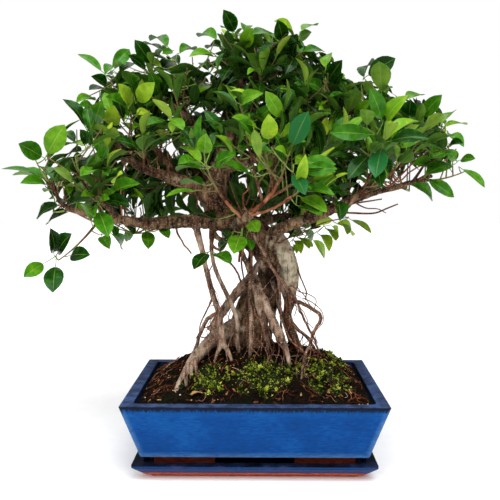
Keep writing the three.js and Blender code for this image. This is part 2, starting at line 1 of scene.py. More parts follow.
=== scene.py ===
"""A fig bonsai in a glazed pot: pottery, soil, moss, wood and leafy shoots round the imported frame."""

import math
import random

import bmesh
import bpy
import numpy as np
from bpy.props import FloatProperty, FloatVectorProperty, IntProperty, PointerProperty
from mathutils import Matrix, Vector, kdtree, noise


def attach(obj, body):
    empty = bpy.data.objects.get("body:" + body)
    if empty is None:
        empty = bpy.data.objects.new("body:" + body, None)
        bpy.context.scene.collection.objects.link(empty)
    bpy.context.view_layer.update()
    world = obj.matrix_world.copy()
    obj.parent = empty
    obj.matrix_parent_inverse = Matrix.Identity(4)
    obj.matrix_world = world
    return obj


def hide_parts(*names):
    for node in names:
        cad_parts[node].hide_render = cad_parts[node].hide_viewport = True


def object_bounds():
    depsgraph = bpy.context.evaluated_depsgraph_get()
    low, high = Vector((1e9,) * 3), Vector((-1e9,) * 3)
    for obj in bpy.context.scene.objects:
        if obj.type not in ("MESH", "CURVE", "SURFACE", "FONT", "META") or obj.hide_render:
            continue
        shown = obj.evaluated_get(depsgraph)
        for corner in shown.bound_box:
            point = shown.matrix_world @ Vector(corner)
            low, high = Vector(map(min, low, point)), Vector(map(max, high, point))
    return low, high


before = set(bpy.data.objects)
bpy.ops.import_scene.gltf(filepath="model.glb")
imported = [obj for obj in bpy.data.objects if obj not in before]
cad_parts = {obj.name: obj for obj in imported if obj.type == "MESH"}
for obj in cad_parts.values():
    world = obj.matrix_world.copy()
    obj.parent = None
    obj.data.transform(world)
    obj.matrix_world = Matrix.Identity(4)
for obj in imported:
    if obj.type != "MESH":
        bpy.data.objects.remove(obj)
CAD_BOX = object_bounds()

bl_info = {
    "name": "Potted fig bonsai", "version": (1, 0, 0), "blender": (4, 5, 0),
    "location": "3D View > Sidebar > Bonsai",
    "description": "Glazed pot, soil, moss, wood and leafy shoots round a packed frame",
    "category": "Add Mesh",
}

MM = 0.001
GOLDEN_ANGLE = math.radians(137.5)
UP = np.array([0.0, 0.0, 1.0])


def linear(hex_text):
    """An sRGB hex colour as linear red, green, blue and full opacity."""
    parts = [int(hex_text[i : i + 2], 16) / 255 for i in (1, 3, 5)]
    return (*[c / 12.92 if c <= 0.04045 else ((c + 0.055) / 1.055) ** 2.4 for c in parts], 1.0)


# ---------------------------------------------------------------- sizes, in millimetres

# The camera that took the picture, and the picture's size in pixels.
CAMERA = {"place": (5.79, -1020.4, 380.6), "yaw": -0.013, "pitch": 0.083, "focal_px": 712.3}
PICTURE = 500
SENSOR_WIDTH = 36.0

SAUCER_HEIGHT = 21.7
POT = {
    "length": 350.0,
    "width": 262.0,
    "rim": 104.4,
    "underside": 29.6,
    "rim_width": 17.0,
    "taper": 23.65,
    "floor_top": 39.0,
    "wall_at_floor": 13.0,
    "cavity_corner": 6.0,
}

# Soil: height where it meets the pot, and the mound that rises to the trunk.
SOIL = {
    "edge": 99.0,
    "rise": 60.0,
    "peak": (8.0, 5.0),
    "reach_left": 166.0,
    "reach_right": 150.0,
    "reach_front": 119.0,
    "reach_back": 109.0,
    "roughness": 1.3,
}
SOIL_GAP = 0.5

# Moss cushions: centre and half-size in plan.
MOSS = {
    "front_left": (-66, -72, 29, 21),
    "front_centre": (12, -70, 38, 26),
    "front_right": (94, -58, 33, 30),
    "right": (114, 22, 22, 30),
    "back": (-22, 66, 40, 22),
}
MOSS_THICKNESS = 4.5
# Dead leaves on the soil: place in plan, turn, length and width, and how pale they are.
FALLEN_LEAVES = [(-66, -96, 1.9, 21, 9, 0.8), (-78, -94, -1.2, 17, 8, 0.25), (-49, -95, 1.2, 18, 8, 0.3)]
# A hollow in the trunk's front, darkened with painted shade: its middle and its half-sizes.
HOLLOW = {"middle": (24, -16, 254), "half": (17, 28, 32), "depth": 13.0}

# Limbs of the wood: points x, y, z, radius.
TRUNK = {
    "trunk": [
        (1, 8, 136, 27.4), (1, 8, 154, 24.5), (-2, 10, 180, 21.7), (4, 14, 209, 18.9),
        (19, 14, 239, 18.9), (26, 8, 269, 20.2), (16, 2, 298, 21.5), (-6, 0, 320, 20.8),
        (-33, 0, 337, 20.1), (-55, 4, 360, 19.4), (-60, 12, 382, 17.4),
    ],
    "trunk_foot": [
        (10, 14, 246, 16), (-8, 12, 217, 17.4), (-18, 10, 189, 18.1), (-28, 8, 166, 15.9),
        (-38, 4, 143, 12.9),
    ],
    "right_column": [
        (30, -2, 313, 12.9), (43, -8, 289, 13.5), (48, -8, 265, 14.2), (50, -6, 242, 12.1),
        (50, -4, 221, 7.4), (47, -4, 198, 5.7), (55, -8, 175, 5.7), (64, -12, 154, 5.1),
        (69, -14, 141, 4.2),
    ],
}
BOUGHS = {
    "leader": [
        (-58, 8, 370, 18), (-56, 18, 393, 16), (-49, 26, 421, 14.4), (-39, 30, 454, 11.8),
        (-18, 30, 498, 10.3), (-1, 26, 534, 7.4), (6, 22, 562, 3.4),
    ],
    "leader_left": [(-9, 28, 516, 6.6), (-22, 22, 537, 5), (-32, 16, 556, 3)],
    "leader_right": [(-2, 26, 532, 6.6), (18, 22, 542, 5), (36, 14, 550, 3)],
    "upper_left": [
        (-55, 4, 360, 15.8), (-72, 2, 376, 13.6), (-95, 0, 390, 10.7), (-135, -10, 404, 7.8),
        (-168, -20, 418, 5.6), (-195, -30, 450, 3.9),
    ],
    "upper_left_fork": [(-95, 0, 390, 7.2), (-120, 14, 413, 5.2), (-146, 24, 443, 4.1), (-159, 26, 475, 2.8)],
    "low_left": [
        (-39, -4, 333, 12.8), (-71, -14, 338, 10.6), (-108, -24, 337, 9.5), (-146, -34, 335, 8.3),
        (-185, -46, 341, 6.6), (-221, -58, 348, 4.9), (-257, -72, 363, 3.5), (-269, -76, 395, 2.4),
    ],
    "low_left_fork": [
        (-185, -46, 341, 4.7), (-207, -70, 368, 3.5), (-222, -92, 389, 2.6), (-229, -104, 402, 1.9),
    ],
    "inner_left": [(-39, 30, 454, 9.6), (-63, 26, 472, 8.1), (-93, 18, 482, 6.1), (-121, 6, 504, 4.3)],
    "low_right": [
        (18, -10, 294, 11.3), (24, -18, 317, 9.9), (42, -26, 331, 8.7), (79, -36, 344, 7.5),
        (116, -44, 360, 6.3), (153, -50, 384, 5.2), (185, -50, 407, 4.1), (213, -44, 428, 3),
    ],
    "low_right_fork": [(116, -44, 360, 4.9), (164, -30, 377, 4.2), (217, -16, 392, 3.4), (250, -6, 402, 2.6)],
    "upper_right": [
        (-50, 24, 414, 11.7), (-14, 18, 425, 8.7), (33, 10, 436, 6.7), (80, -2, 455, 5),
        (121, -14, 482, 3.4), (147, -24, 500, 2.2),
    ],
    "back_left": [(-56, 18, 393, 10), (-90, 66, 410, 7.6), (-132, 106, 425, 5.4), (-172, 128, 438, 3.2)],
    "back_centre": [(-47, 28, 428, 9), (-20, 78, 448, 6.8), (0, 118, 468, 4.8), (10, 146, 492, 3)],
    "back_right": [(-39, 30, 454, 8), (28, 78, 452, 6.4), (90, 112, 442, 4.8), (150, 128, 432, 3)],
    "back_low": [(-20, 8, 330, 10), (24, 48, 338, 7.2), (58, 82, 344, 4.6)],
}
# Short burr on the trunk's front, with the red-barked young shoots that grow out of it.
BURR = {
    "burr": [(-33, -8, 328, 11.4), (-18, -30, 340, 9), (-5, -52, 351, 6.8)],
    "burr_big": [
        (-7, -50, 350, 3.9), (5, -66, 359, 2.9), (17, -82, 371, 2.5), (27, -98, 385, 2.2),
        (34, -110, 398, 1.9),
    ],
    "burr_right": [(-5, -52, 348, 2.2), (15, -76, 353, 1.9), (33, -96, 363, 1.6), (46, -110, 374, 1.4)],
    "burr_left": [(-17, -36, 343, 2.8), (-31, -62, 357, 2.3), (-41, -80, 370, 2), (-49, -94, 382, 1.7)],
    "burr_hook": [(-11, -50, 353, 1.5), (-16, -62, 364, 1.3), (-15, -68, 374, 1.1), (-9, -72, 384, 1)],
}
ROOTS = {
    "surface_left": [
        (-18, 2, 186, 14.4), (-38, -4, 178, 12.1), (-56, -12, 170, 10.2), (-72, -26, 157, 9.5),
        (-86, -38, 142, 8.3), (-96, -58, 129, 4.9), (-103, -76, 118, 3.7), (-107, -96, 104, 2.6),
    ],
    "surface_side": [(-86, -38, 142, 4.1), (-87, -56, 133, 2.7), (-88, -72, 123, 1.9), (-89, -90, 110, 1.3)],
    "aerial_1": [
        (-84, -22, 334, 5.6), (-74, -26, 295, 4.3), (-65, -30, 257, 3.9), (-58, -33, 233, 4.4),
        (-50, -36, 209, 5), (-47, -40, 180, 5.5), (-45, -42, 165, 5.8),
    ],
    "aerial_1_left": [(-45, -42, 168, 4.1), (-53, -44, 154, 2.7), (-58, -49, 134, 1.9)],
    "aerial_1_right": [(-44, -42, 168, 4.1), (-36, -43, 154, 3.3), (-30, -47, 136, 2.2)],
    "aerial_2": [
        (-57, -7, 336, 5), (-62, -14, 306, 3.2), (-59, -20, 280, 3.1), (-51, -24, 258, 3.2),
        (-40, -28, 236, 3.3), (-31, -30, 216, 3.5), (-25, -30, 196, 3.6), (-26, -28, 175, 3.6),
        (-22, -25, 146, 3.1),
    ],
    "aerial_3": [
        (-26, -6, 320, 5.4), (-22, -20, 302, 4.4), (-11, -26, 277, 4.2), (-1, -32, 245, 3.9),
        (4, -34, 220, 3.6), (10, -32, 197, 3.2), (16, -26, 173, 2.6), (19, -22, 148, 2.2),
    ],
    "aerial_4": [
        (-10, -14, 322, 2.6), (-5, -27, 292, 2.2), (-6, -34, 268, 2.1), (-8, -44, 237, 2.6),
        (-6, -46, 212, 3.3), (-5, -46, 187, 4.2), (-6, -42, 163, 3.3), (-8, -37, 140, 2.1),
    ],
    "aerial_5": [
        (-4, -10, 265, 5.7), (3, -20, 250, 5.9), (11, -28, 232, 6), (20, -34, 210, 6.5),
        (28, -38, 191, 7.4), (36, -42, 176, 6.6), (43, -46, 160, 4.4), (49, -51, 134, 2.7),
    ],
    "aerial_6": [
        (13, -4, 285, 5.7), (-7, -8, 259, 5.7), (-25, -9, 237, 6.8), (-39, -8, 218, 7.1),
        (-52, -6, 199, 6.6), (-65, -6, 179, 5.7),
    ],
    "aerial_7": [
        (-53, -6, 206, 3.4), (-70, 2, 193, 3), (-79, 4, 175, 2.9), (-85, 2, 158, 2.7), (-92, -5, 132, 2.3),
    ],
    "aerial_8": [(-45, -2, 287, 1.8), (-30, -6, 270, 1.5), (-23, -8, 259, 1.5), (-19, -10, 243, 1.5)],
    "aerial_9": [
        (-15, -40, 338, 1.8), (7, -40, 305, 2.1), (27, -44, 270, 2.1), (41, -44, 252, 2.1),
        (56, -40, 232, 1.9), (64, -34, 212, 1.8), (75, -24, 188, 1.7), (85, -14, 168, 1.7), (96, 0, 138, 1.6),
    ],
    "aerial_10": [
        (49, -8, 223, 3.1), (64, -18, 222, 2.8), (79, -28, 216, 2.8), (91, -38, 207, 2.6),
        (89, -46, 198, 2.5), (80, -52, 187, 2.3), (76, -56, 171, 2), (68, -62, 156, 1.9),
        (65, -68, 142, 1.6), (61, -76, 120, 1.3),
    ],
    "aerial_11": [
        (36, -8, 286, 2.6), (32, -20, 266, 2.1), (35, -30, 232, 1.7), (36, -34, 210, 1.7),
        (37, -34, 186, 1.6), (42, -27, 144, 1.5),
    ],
    "aerial_12": [
        (48, -2, 213, 3), (52, 8, 194, 2.6), (61, 14, 179, 2.5), (76, 18, 165, 2.5), (94, 20, 138, 2.2),
    ],
    "thread_right": [
        (52, -6, 283, 1.4), (61, -14, 267, 1.4), (66, -18, 255, 1.1), (71, -20, 242, 1), (72, -20, 226, 1),
    ],
    "thread_left": [
        (-112, -25, 336, 1.7), (-108, -28, 322, 1.5), (-100, -32, 307, 1.3), (-88, -36, 294, 1.1),
    ],
}
# Twigs and rootlets that the picture shows: depth y in mm, radius in mm, then pixels that they pass.
THIN_LINES_SEEN = {
    "hanging_twig": (
        -26, 1.1, [(279, 243), (286, 239), (300, 234), (312, 228), (326, 222), (340, 219), (349, 217)],
    ),
    "bare_twig_low": (-42, 1.6, [(304, 214), (330, 212), (352, 213), (375, 213), (388, 208), (398, 204)]),
    "bare_twig_high": (-44, 1.5, [(322, 208), (340, 205), (356, 203), (370, 201), (382, 199)]),
    "bare_twig_fork": (-44, 1.0, [(356, 203), (366, 208), (378, 209), (386, 213)]),
    "knee_a": (-30, 2.3, [(211, 226), (210.5, 238), (214, 247), (221, 250), (226, 244), (229, 236)]),
    "knee_b": (-34, 1.7, [(246, 224), (249, 238), (252, 252), (250, 266)]),
    "knee_c": (-30, 1.5, [(239, 262), (240, 252), (244, 243), (247, 236)]),
    "knob_a": (-24, 4.6, [(212, 222), (213, 231), (218, 238), (226, 241)]),
    "knob_b": (-18, 3.8, [(236, 222), (235, 231), (229, 239)]),
    "knob_root": (-30, 1.5, [(245, 236), (243, 250), (241.5, 262), (243, 274), (246, 286)]),
    "knob_c": (-20, 4.2, [(250, 243), (251, 254), (248, 264)]),
    "red_twig_a": (-60, 1.5, [(61, 203), (72, 210), (84, 217), (97, 223), (110, 227)]),
    "red_twig_b": (-36, 1.4, [(131, 153), (131, 141), (131.5, 129), (131, 117)]),
    "red_twig_c": (-40, 1.6, [(107, 138), (113, 148), (120, 158), (128, 170)]),
    "red_twig_e": (-60, 1.2, [(95, 178), (98, 190), (100, 205), (98, 216)]),
    "red_twig_f": (-50, 1.1, [(122, 216), (121, 200), (121, 188), (124, 176)]),
    "twig_g": (-34, 1.3, [(160, 172), (157, 160), (160, 148), (164, 138)]),
    "twig_h": (-34, 1.2, [(152, 170), (147, 158), (141, 148)]),
    "twig_i": (-34, 1.1, [(168, 172), (170, 160), (176, 150)]),
    "red_twig_l": (-50, 1.4, [(388, 186), (400, 176), (412, 164), (426, 150)]),
    "red_twig_m": (-46, 1.2, [(398, 182), (410, 172), (424, 164), (440, 158)]),
    "red_twig_n": (-50, 1.1, [(390, 184), (394, 172), (399, 158)]),
    "back_root_a": (12, 5.2, [(262, 282), (269, 303), (275, 326), (281, 352)]),
    "back_root_b": (6, 3.6, [(272, 280), (278, 303), (285, 325), (293, 352)]),
    "back_root_c": (18, 4.6, [(280, 278), (276, 300), (271, 325), (269, 352)]),
    "root_loop": (-34, 1.1, [(212, 300), (206, 312), (200, 326), (201, 337), (208, 336), (212, 326)]),
    "rootlet_a": (
        -62, 0.9, [(296, 300), (308, 306), (319, 316), (316, 330), (309, 344), (305, 362), (303, 380)],
    ),
    "rootlet_b": (-58, 0.8, [(290, 318), (300, 330), (312, 340), (318, 352), (314, 366)]),
    "rootlet_c": (-60, 0.8, [(284, 326), (292, 342), (302, 350), (306, 364), (300, 378)]),
    "rootlet_d": (-50, 0.7, [(303, 298), (313, 303), (322, 312), (323, 322), (315, 333), (318, 344)]),
    "rootlet_e": (-66, 0.7, [(276, 340), (284, 352), (282, 366), (288, 380), (286, 394)]),
    "rootlet_f": (-64, 0.7, [(262, 344), (268, 358), (264, 372), (268, 388)]),
    "rootlet_g": (-40, 0.8, [(214, 262), (208, 276), (213, 292), (209, 306)]),
    "root_toe_a": (-72, 2.5, [(194, 358), (196, 368), (197.5, 377), (200, 387)]),
    "root_toe_b": (-80, 2.7, [(188, 362), (186.5, 372), (186, 381), (187, 391)]),
    "fine_twig_a": (-70, 0.8, [(243, 214), (236, 200), (231, 186), (226, 172)]),
    "fine_twig_b": (-60, 0.7, [(250, 212), (256, 198), (259, 186), (262, 174)]),
    "fine_twig_c": (-80, 0.8, [(256, 212), (268, 196), (274, 184), (276, 170)]),
    "fine_twig_d": (-70, 0.6, [(228, 212), (222, 204), (214, 200), (206, 199)]),
    "fine_twig_e": (-75, 0.6, [(246, 205), (250, 192), (246, 180), (249, 168)]),
    "rootlet_h": (-56, 0.9, [(292, 286), (300, 292), (308, 294), (316, 300), (314, 310)]),
}
SHOOT_TIPS = {
    "left": [
        (-290, -78, 422), (-210, 24, 540), (-166, -50, 489), (-155, 30, 550), (-115, 20, 566),
        (-235, -24, 476), (-203, -100, 366), (-272, -62, 352), (-228, -112, 424), (-176, -112, 419),
        (-145, -96, 448), (-106, -92, 470), (-257, -96, 290),
    ],
    "top": [
        (-30, 18, 592), (-70, 24, 568), (22, 10, 590), (58, 4, 576), (98, -14, 534), (9, -50, 536),
        (-19, -94, 492), (36, -104, 482), (68, -50, 520),
    ],
    "right": [
        (158, -136, 439), (160, -80, 508), (224, -40, 478), (264, 8, 464), (276, -32, 438),
        (298, 2, 408), (122, -60, 492), (108, -110, 444), (196, -84, 430), (222, 14, 380),
    ],
    "front": [(-62, -124, 413), (42, -136, 424), (70, -126, 396), (12, -120, 440), (-19, -58, 305)],
    "low": [(72, 60, 305), (-178, 20, 318), (92, 134, 372)],
    "back": [
        (-222, 92, 432), (-190, 150, 470), (-100, 180, 448), (-96, 110, 544), (16, 186, 468),
        (18, 104, 568), (120, 176, 450), (124, 96, 516), (196, 130, 460),
    ],
}
TWIG = {"sag": 0.12, "set_back": 0.5, "place_spacing": 6.0, "base_radius": 2.3, "tip_radius": 1.5}
STEM = {"length": 46.0, "base_radius": 1.5, "tip_radius": 0.8}
SIDE_STEM = {"set_back": 0.45, "shortest": 28, "longest": 56, "rise": 4}

# Leaves that the picture shows one by one: pixels of the base and the tip, and the apparent width in pixels.
# The key is how the blade looks: its tone from dark to yellow, read off how bright it looks, so it holds
# painted light and shade as well as the leaf's age, or its underside, or its painted sheen.
LEAVES_SEEN = {
    "dark": [
        (118, 74, 134, 61, 8.5), (108, 88, 93, 76, 8.5), (109, 90, 89.5, 88, 3), (162.5, 98, 167, 81, 9),
        (162.5, 99.5, 145, 104, 8), (148, 71, 129, 55, 8.5), (152.5, 66, 135.5, 40.5, 13),
        (155, 73.5, 175.5, 60.5, 12), (87, 130, 66.5, 96.5, 9), (62, 203, 35.5, 217.5, 9),
        (71, 210.5, 44.5, 223, 7), (77, 202.5, 58.5, 199, 8), (84.5, 150.5, 63.5, 155, 5),
        (87.5, 146.5, 80.5, 130, 9), (88.5, 146.5, 90.5, 131.5, 9), (85.5, 169, 73.5, 155, 9),
        (68, 256, 88, 254, 13), (56, 256, 69, 234, 11.5), (54, 255.5, 52, 230, 12.5),
        (236, 34, 224.5, 11, 13), (224, 48, 206, 46.5, 6), (283, 42.5, 278.5, 21.5, 13),
        (325, 83.5, 317.5, 56, 10), (325.6, 84.5, 341, 61, 13), (298, 46.7, 289.5, 36, 6),
        (209.6, 72.6, 201, 58.8, 11), (236.6, 62.8, 221.7, 79, 9), (243.5, 113.3, 262.4, 97.8, 6),
        (219, 219, 196, 217, 5), (209.5, 251.5, 194, 267.5, 11), (385, 142, 427, 135, 12),
        (371.9, 152.2, 348.4, 177.5, 15), (364, 78, 395, 58, 16), (409.3, 117.8, 410.4, 101, 15),
        (446, 148.8, 462, 142, 4), (336.9, 198.2, 340.9, 218.9, 11), (420.2, 129.3, 448.3, 133.3, 8),
        (333.4, 92.5, 341.5, 74, 9), (56, 263, 52.5, 291, 17.5), (111, 222, 115, 236, 7),
        (127, 224, 134, 234, 6), (234, 231, 221, 240, 9), (250, 228, 242, 240, 7), (243, 246, 252, 246, 5),
        (363, 80, 371, 59, 9), (181, 66, 168, 57, 7), (229, 240, 217, 251, 9), (292.3, 59.4, 295, 42.7, 8),
    ],
    "teal": [(290.3, 150.8, 307.7, 111.5, 18), (293, 172, 305, 193, 13), (381.7, 147.6, 375.4, 175.8, 17)],
    "mid": [
        (105, 74, 78, 52, 7), (104, 76, 114, 64, 8), (110, 71, 130, 48, 12.5), (134, 96.5, 130.5, 73.5, 9),
        (130, 113, 107, 95.5, 6), (160, 97, 151, 73, 13), (163, 51, 144, 42, 3),
        (170, 49, 150.5, 33.5, 8.5), (174, 50.5, 163, 53, 6), (177, 54, 196, 48, 6),
        (188, 88, 163.5, 64.5, 10), (144, 126.5, 166.5, 118.5, 8.5), (93.5, 127, 101, 102, 14),
        (96.5, 114, 80, 104, 4), (45, 158.5, 20, 144, 16), (56, 182.5, 42, 164, 11),
        (49.5, 180, 1.7, 166, 4), (55, 182.5, 12, 172, 6), (49.5, 185.5, 21.5, 181.5, 8),
        (58.5, 193.5, 44, 190, 5), (90.5, 147.5, 101, 142, 6), (101.5, 163, 107.5, 147.5, 10),
        (101, 168, 80.5, 175, 7), (104.5, 196.5, 138, 182, 10), (98, 209, 108, 235, 17),
        (101, 235, 109, 247.5, 11), (103.5, 230, 94.5, 224, 4), (110, 232, 123, 248, 9),
        (46, 262, 24.5, 276, 13), (243.5, 33, 248, 22.5, 11), (220, 40.5, 197.5, 34, 8),
        (235, 34.5, 221.5, 25.5, 4), (274, 33.5, 253, 32, 4), (300.5, 52, 325.5, 49.5, 7),
        (279, 43.3, 274, 33, 9), (257, 120, 271, 107.6, 12), (323.8, 94.4, 308.3, 80, 8),
        (189.3, 145.7, 171, 135, 6), (210.7, 167, 234.2, 154, 11), (205.6, 169, 175.5, 168, 7),
        (201, 165, 179, 162, 5), (212.2, 145.7, 225, 129.4, 5), (207, 185.5, 181, 182, 4),
        (239.8, 159, 252, 140, 9), (254, 176.8, 225.5, 162, 6), (240.8, 171.2, 219.4, 166, 3),
        (274, 147.8, 304.6, 139.6, 7), (256, 140.6, 239.8, 119.7, 8), (238, 215, 218.5, 206, 7),
        (420.2, 118.9, 440.8, 95.4, 13), (403.5, 100.5, 423, 92.7, 8), (445, 135.6, 463.2, 141.3, 6),
        (457.5, 161.4, 448.3, 150, 10), (458.6, 160.3, 474.2, 158, 7), (458.6, 166.6, 485.6, 186, 6),
        (424, 177, 454.5, 197, 11), (405, 181.5, 434.8, 200, 9.5), (427.6, 173.5, 447.2, 162.6, 10),
        (147, 229, 148.5, 247.5, 12), (213, 252, 231, 262.5, 10), (302, 228, 312, 246, 6),
        (296, 205, 322, 214, 9), (246, 236, 252, 249, 7), (160, 226, 169, 237.5, 9),
        (124, 228, 130, 241, 9), (376.5, 135, 331, 132, 15), (382.8, 123.5, 371.3, 89, 14),
        (300, 172, 336, 168, 13), (455, 164, 427, 172, 11), (294, 164, 335, 163, 12),
        (452, 152, 430, 158, 9), (436, 168, 415, 163, 9),
    ],
    "bright": [
        (98, 100, 76.5, 100.5, 4), (45, 158, 64, 125, 19.5), (93, 196, 68, 181.5, 9),
        (86, 146, 64.5, 143, 4), (101, 198, 82, 194.5, 6), (131, 131, 122, 121, 6), (131, 131, 141, 122, 6),
        (168, 117, 183, 128, 8), (171, 135, 181, 119, 7), (198, 94, 211, 82, 9), (70, 197, 61, 181, 8),
        (126, 122, 116, 111, 6), (241.7, 49.6, 252, 29, 13), (299.7, 32, 317, 23, 5),
        (325.6, 69.7, 329, 52.5, 10), (217.6, 57, 189.7, 54.5, 5), (236, 101.8, 224, 83.5, 8),
        (239.5, 106.4, 256.7, 91.7, 9), (283, 121.4, 266.4, 91.7, 13), (315.8, 112.2, 326.7, 96.7, 11),
        (204.6, 156, 205.6, 135, 14), (203.6, 164.6, 181, 144.7, 9), (256.6, 173.3, 273, 159, 12),
        (261.2, 130.4, 233.2, 115.6, 6), (287, 157, 276, 147.8, 4), (293, 165, 312, 156, 9),
        (249, 220, 258, 231, 13), (241.5, 233, 234, 252, 17), (384, 140.7, 419, 118.3, 9),
        (385, 123.5, 401.8, 97, 12), (440.3, 125.8, 453.5, 109.2, 9), (442.6, 127, 467.3, 122.4, 4),
        (354, 122.4, 370.2, 100, 9), (297, 195, 327, 211, 11),
    ],
    "yellow": [
        (131.5, 109, 119, 84, 10), (135.5, 103.5, 153, 83.5, 14.5), (133.5, 115.5, 152, 111.5, 8),
        (111.5, 128.5, 113.5, 107, 15), (295.5, 38.5, 276, 19.5, 4), (268.9, 142.7, 268.9, 116, 15),
        (348, 218, 372, 232, 5), (334, 222, 354.5, 234.5, 6.5), (324, 226, 336.5, 240, 6),
        (331, 225, 340, 236, 5), (311, 237.5, 326.7, 258.5, 8), (299, 236, 309.7, 247.5, 6),
        (293, 239, 302, 250, 6), (292, 243, 297, 252.7, 4.5), (287.5, 244.5, 293, 253, 4),
        (341, 221, 348, 234, 5), (317, 233, 331, 246, 6),
    ],
    "under": [
        (113, 70, 125, 63, 6), (188, 87, 190, 75, 6), (45.5, 161, 57, 147, 7), (297.5, 40.5, 310, 32, 9),
        (268.7, 49, 266, 32, 8), (310.6, 101.8, 286.5, 108.7, 9), (347.2, 115.5, 357, 87.3, 15),
        (366.8, 128, 366.8, 107, 13), (381.7, 95.4, 379.4, 60.3, 18),
    ],
}
TONES = {"teal": -0.6, "dark": 0.12, "mid": 0.37, "bright": 0.56, "yellow": 0.76, "under": 0.42}

# Outline of the foliage in the picture, a little inside the outer leaf tips.
CANOPY_OUTLINE = [
    (40, 176), (46, 150), (60, 138), (68, 112), (84, 96), (92, 78), (110, 66), (132, 56), (150, 44),
    (176, 48), (200, 42), (216, 34), (230, 20), (250, 26), (264, 36), (282, 26), (300, 36), (318, 48),
    (330, 58), (345, 72), (356, 84), (372, 72), (392, 78), (404, 96), (428, 98), (446, 112), (456, 128),
    (462, 148), (474, 164), (462, 176), (444, 184), (424, 188), (404, 184), (388, 184), (372, 196),
    (352, 204), (340, 216), (326, 226), (306, 234), (284, 236), (268, 226), (246, 222), (226, 228),
    (204, 218), (184, 220), (160, 220), (140, 224), (112, 228), (98, 222), (82, 210), (60, 208), (46, 196),
]
# Places where the picture's background shows through the foliage: middle and radius in pixels.
SKY_GAPS = [
    (186, 55, 6), (136, 69, 6), (92, 94, 8), (122, 122, 7), (74, 108, 8), (63, 148, 8), (400, 88, 7),
    (444, 174, 9), (172, 148, 4), (181, 210, 3), (137, 205, 3), (106, 118, 4), (210, 68, 4), (80, 128, 5),
    (420, 188, 6), (86, 142, 5), (416, 184, 5), (204, 51, 5), (212, 46, 4), (190, 63, 4), (214, 60, 3),
    (65, 150, 7), (90, 152, 4), (124, 118, 5), (126, 130, 6), (456, 151, 4), (142, 46, 4), (462, 168, 3),
    (452, 142, 3), (411, 173, 6), (402, 179, 5), (427, 169, 4), (394, 181, 5), (74, 148, 5), (418, 160, 3),
    (434, 186, 4),
]
# Hollows in the foliage that lie in shade, x, y and radius in pixels.
SHADED_HOLLOWS = [(272, 90, 34), (214, 124, 20), (406, 158, 12)]
# Windows in the foliage, left, top, right and bottom in pixels, through which the wood shows.
CLEAR_WINDOWS = [
    (118, 146, 206, 192), (196, 152, 272, 236), (262, 150, 302, 236), (96, 204, 216, 236),
    (290, 196, 352, 222), (352, 176, 396, 204), (384, 160, 440, 186), (255, 95, 275, 140),
]
# Where short inner stems fill the foliage: nearest and farthest y, their spacing and wobble in pixels, how
# long they are at most in mm, and how much darker their leaves are, as painted shade inside the foliage.
INNER = {"near": 12.0, "far": 78.0, "step": 14, "wobble": 6.0, "longest": 110.0, "painted_shade": 0.33}
# How far apart the middles of two leaves lie at least, and how far a leaf may pass the CAD's box.
LEAF_CLEARANCE = 7.5
BOX_MARGIN = 12.0


# ---------------------------------------------------------------- shared helpers


def fill(tree, node, sockets):
    """Sets or links a node's sockets, given by name or number, or as a list in their order. A node given
    as a value stands for its first output in use, and a hex text for its colour."""
    for key, value in sockets.items() if isinstance(sockets, dict) else enumerate(sockets):
        if isinstance(value, bpy.types.Node):
            value = next(s for s in value.outputs if s.enabled)
        if isinstance(value, bpy.types.NodeSocket):
            tree.links.new(value, node.inputs[key])
        else:
            colour = isinstance(value, str) and value.startswith("#")
            node.inputs[key].default_value = linear(value) if colour else value


def add(tree, kind, sockets=(), stops=(), **settings):
    """Adds a node with its settings, and fills its sockets. A kind of no other family is a shader node's."""
    node = tree.nodes.new(kind if kind.startswith(("Geometry", "Function")) else "ShaderNode" + kind)
    for key, value in settings.items():
        setattr(node, key, value)
    if stops:
        ramp = node.color_ramp.elements
        while len(ramp) < len(stops):
            ramp.new(1.0)
        for element, (place, colour) in zip(ramp, stops):
            element.position = place
            element.color = linear(colour) if isinstance(colour, str) else (*colour, 1.0)
    fill(tree, node, sockets)
    return node


def new_material(name, **fixed):
    """A node material, its tree, its Principled shader, whose plain sockets are set by name, and the
    output that holds the place on the object."""
    material = bpy.data.materials.new(name)
    material.use_nodes = True
    tree = material.node_tree
    shader = tree.nodes["Principled BSDF"]
    fill(tree, shader, {key.replace("_", " "): value for key, value in fixed.items()})
    return material, tree, shader, add(tree, "TexCoord").outputs["Object"]


def new_mesh(name, corners, faces=(), edges=()):
    mesh = bpy.data.meshes.new(name)
    mesh.from_pydata([tuple(c) for c in corners], [tuple(e) for e in edges], [tuple(f) for f in faces])
    return mesh


def new_object(name, mesh):
    piece = bpy.data.objects.new(name, mesh)
    bpy.context.scene.collection.objects.link(piece)
    return piece


def face_outward(mesh, sharp_from=None):
    """Turns the faces outward. With an angle given, they are shaded smooth, with sharp edges past it."""
    whole = bmesh.new()
    whole.from_mesh(mesh)
    bmesh.ops.recalc_face_normals(whole, faces=whole.faces)
    if sharp_from:
        for face in whole.faces:
            face.smooth = True
        for edge in whole.edges:
            edge.smooth = edge.smooth and edge.calc_face_angle(0.0) <= sharp_from
    whole.to_mesh(mesh)
    whole.free()


def set_attribute(mesh, name, values, kind="FLOAT", domain="POINT"):
    layer = mesh.attributes.new(name, kind, domain)
    field = "vector" if kind == "FLOAT_VECTOR" else "value"
    layer.data.foreach_set(
        field, np.asarray(values, dtype=np.int32 if kind == "INT" else np.float32).ravel(),
    )


def apply_modifiers(piece):
    """Turns the piece and its modifiers into one plain mesh."""
    depsgraph = bpy.context.evaluated_depsgraph_get()
    evaluated = piece.evaluated_get(depsgraph)
    mesh = bpy.data.meshes.new_from_object(evaluated, preserve_all_data_layers=True, depsgraph=depsgraph)
    piece.modifiers.clear()
    rough = piece.data
    piece.data = mesh
    mesh.name = piece.name
    bpy.data.meshes.remove(rough)
    return piece


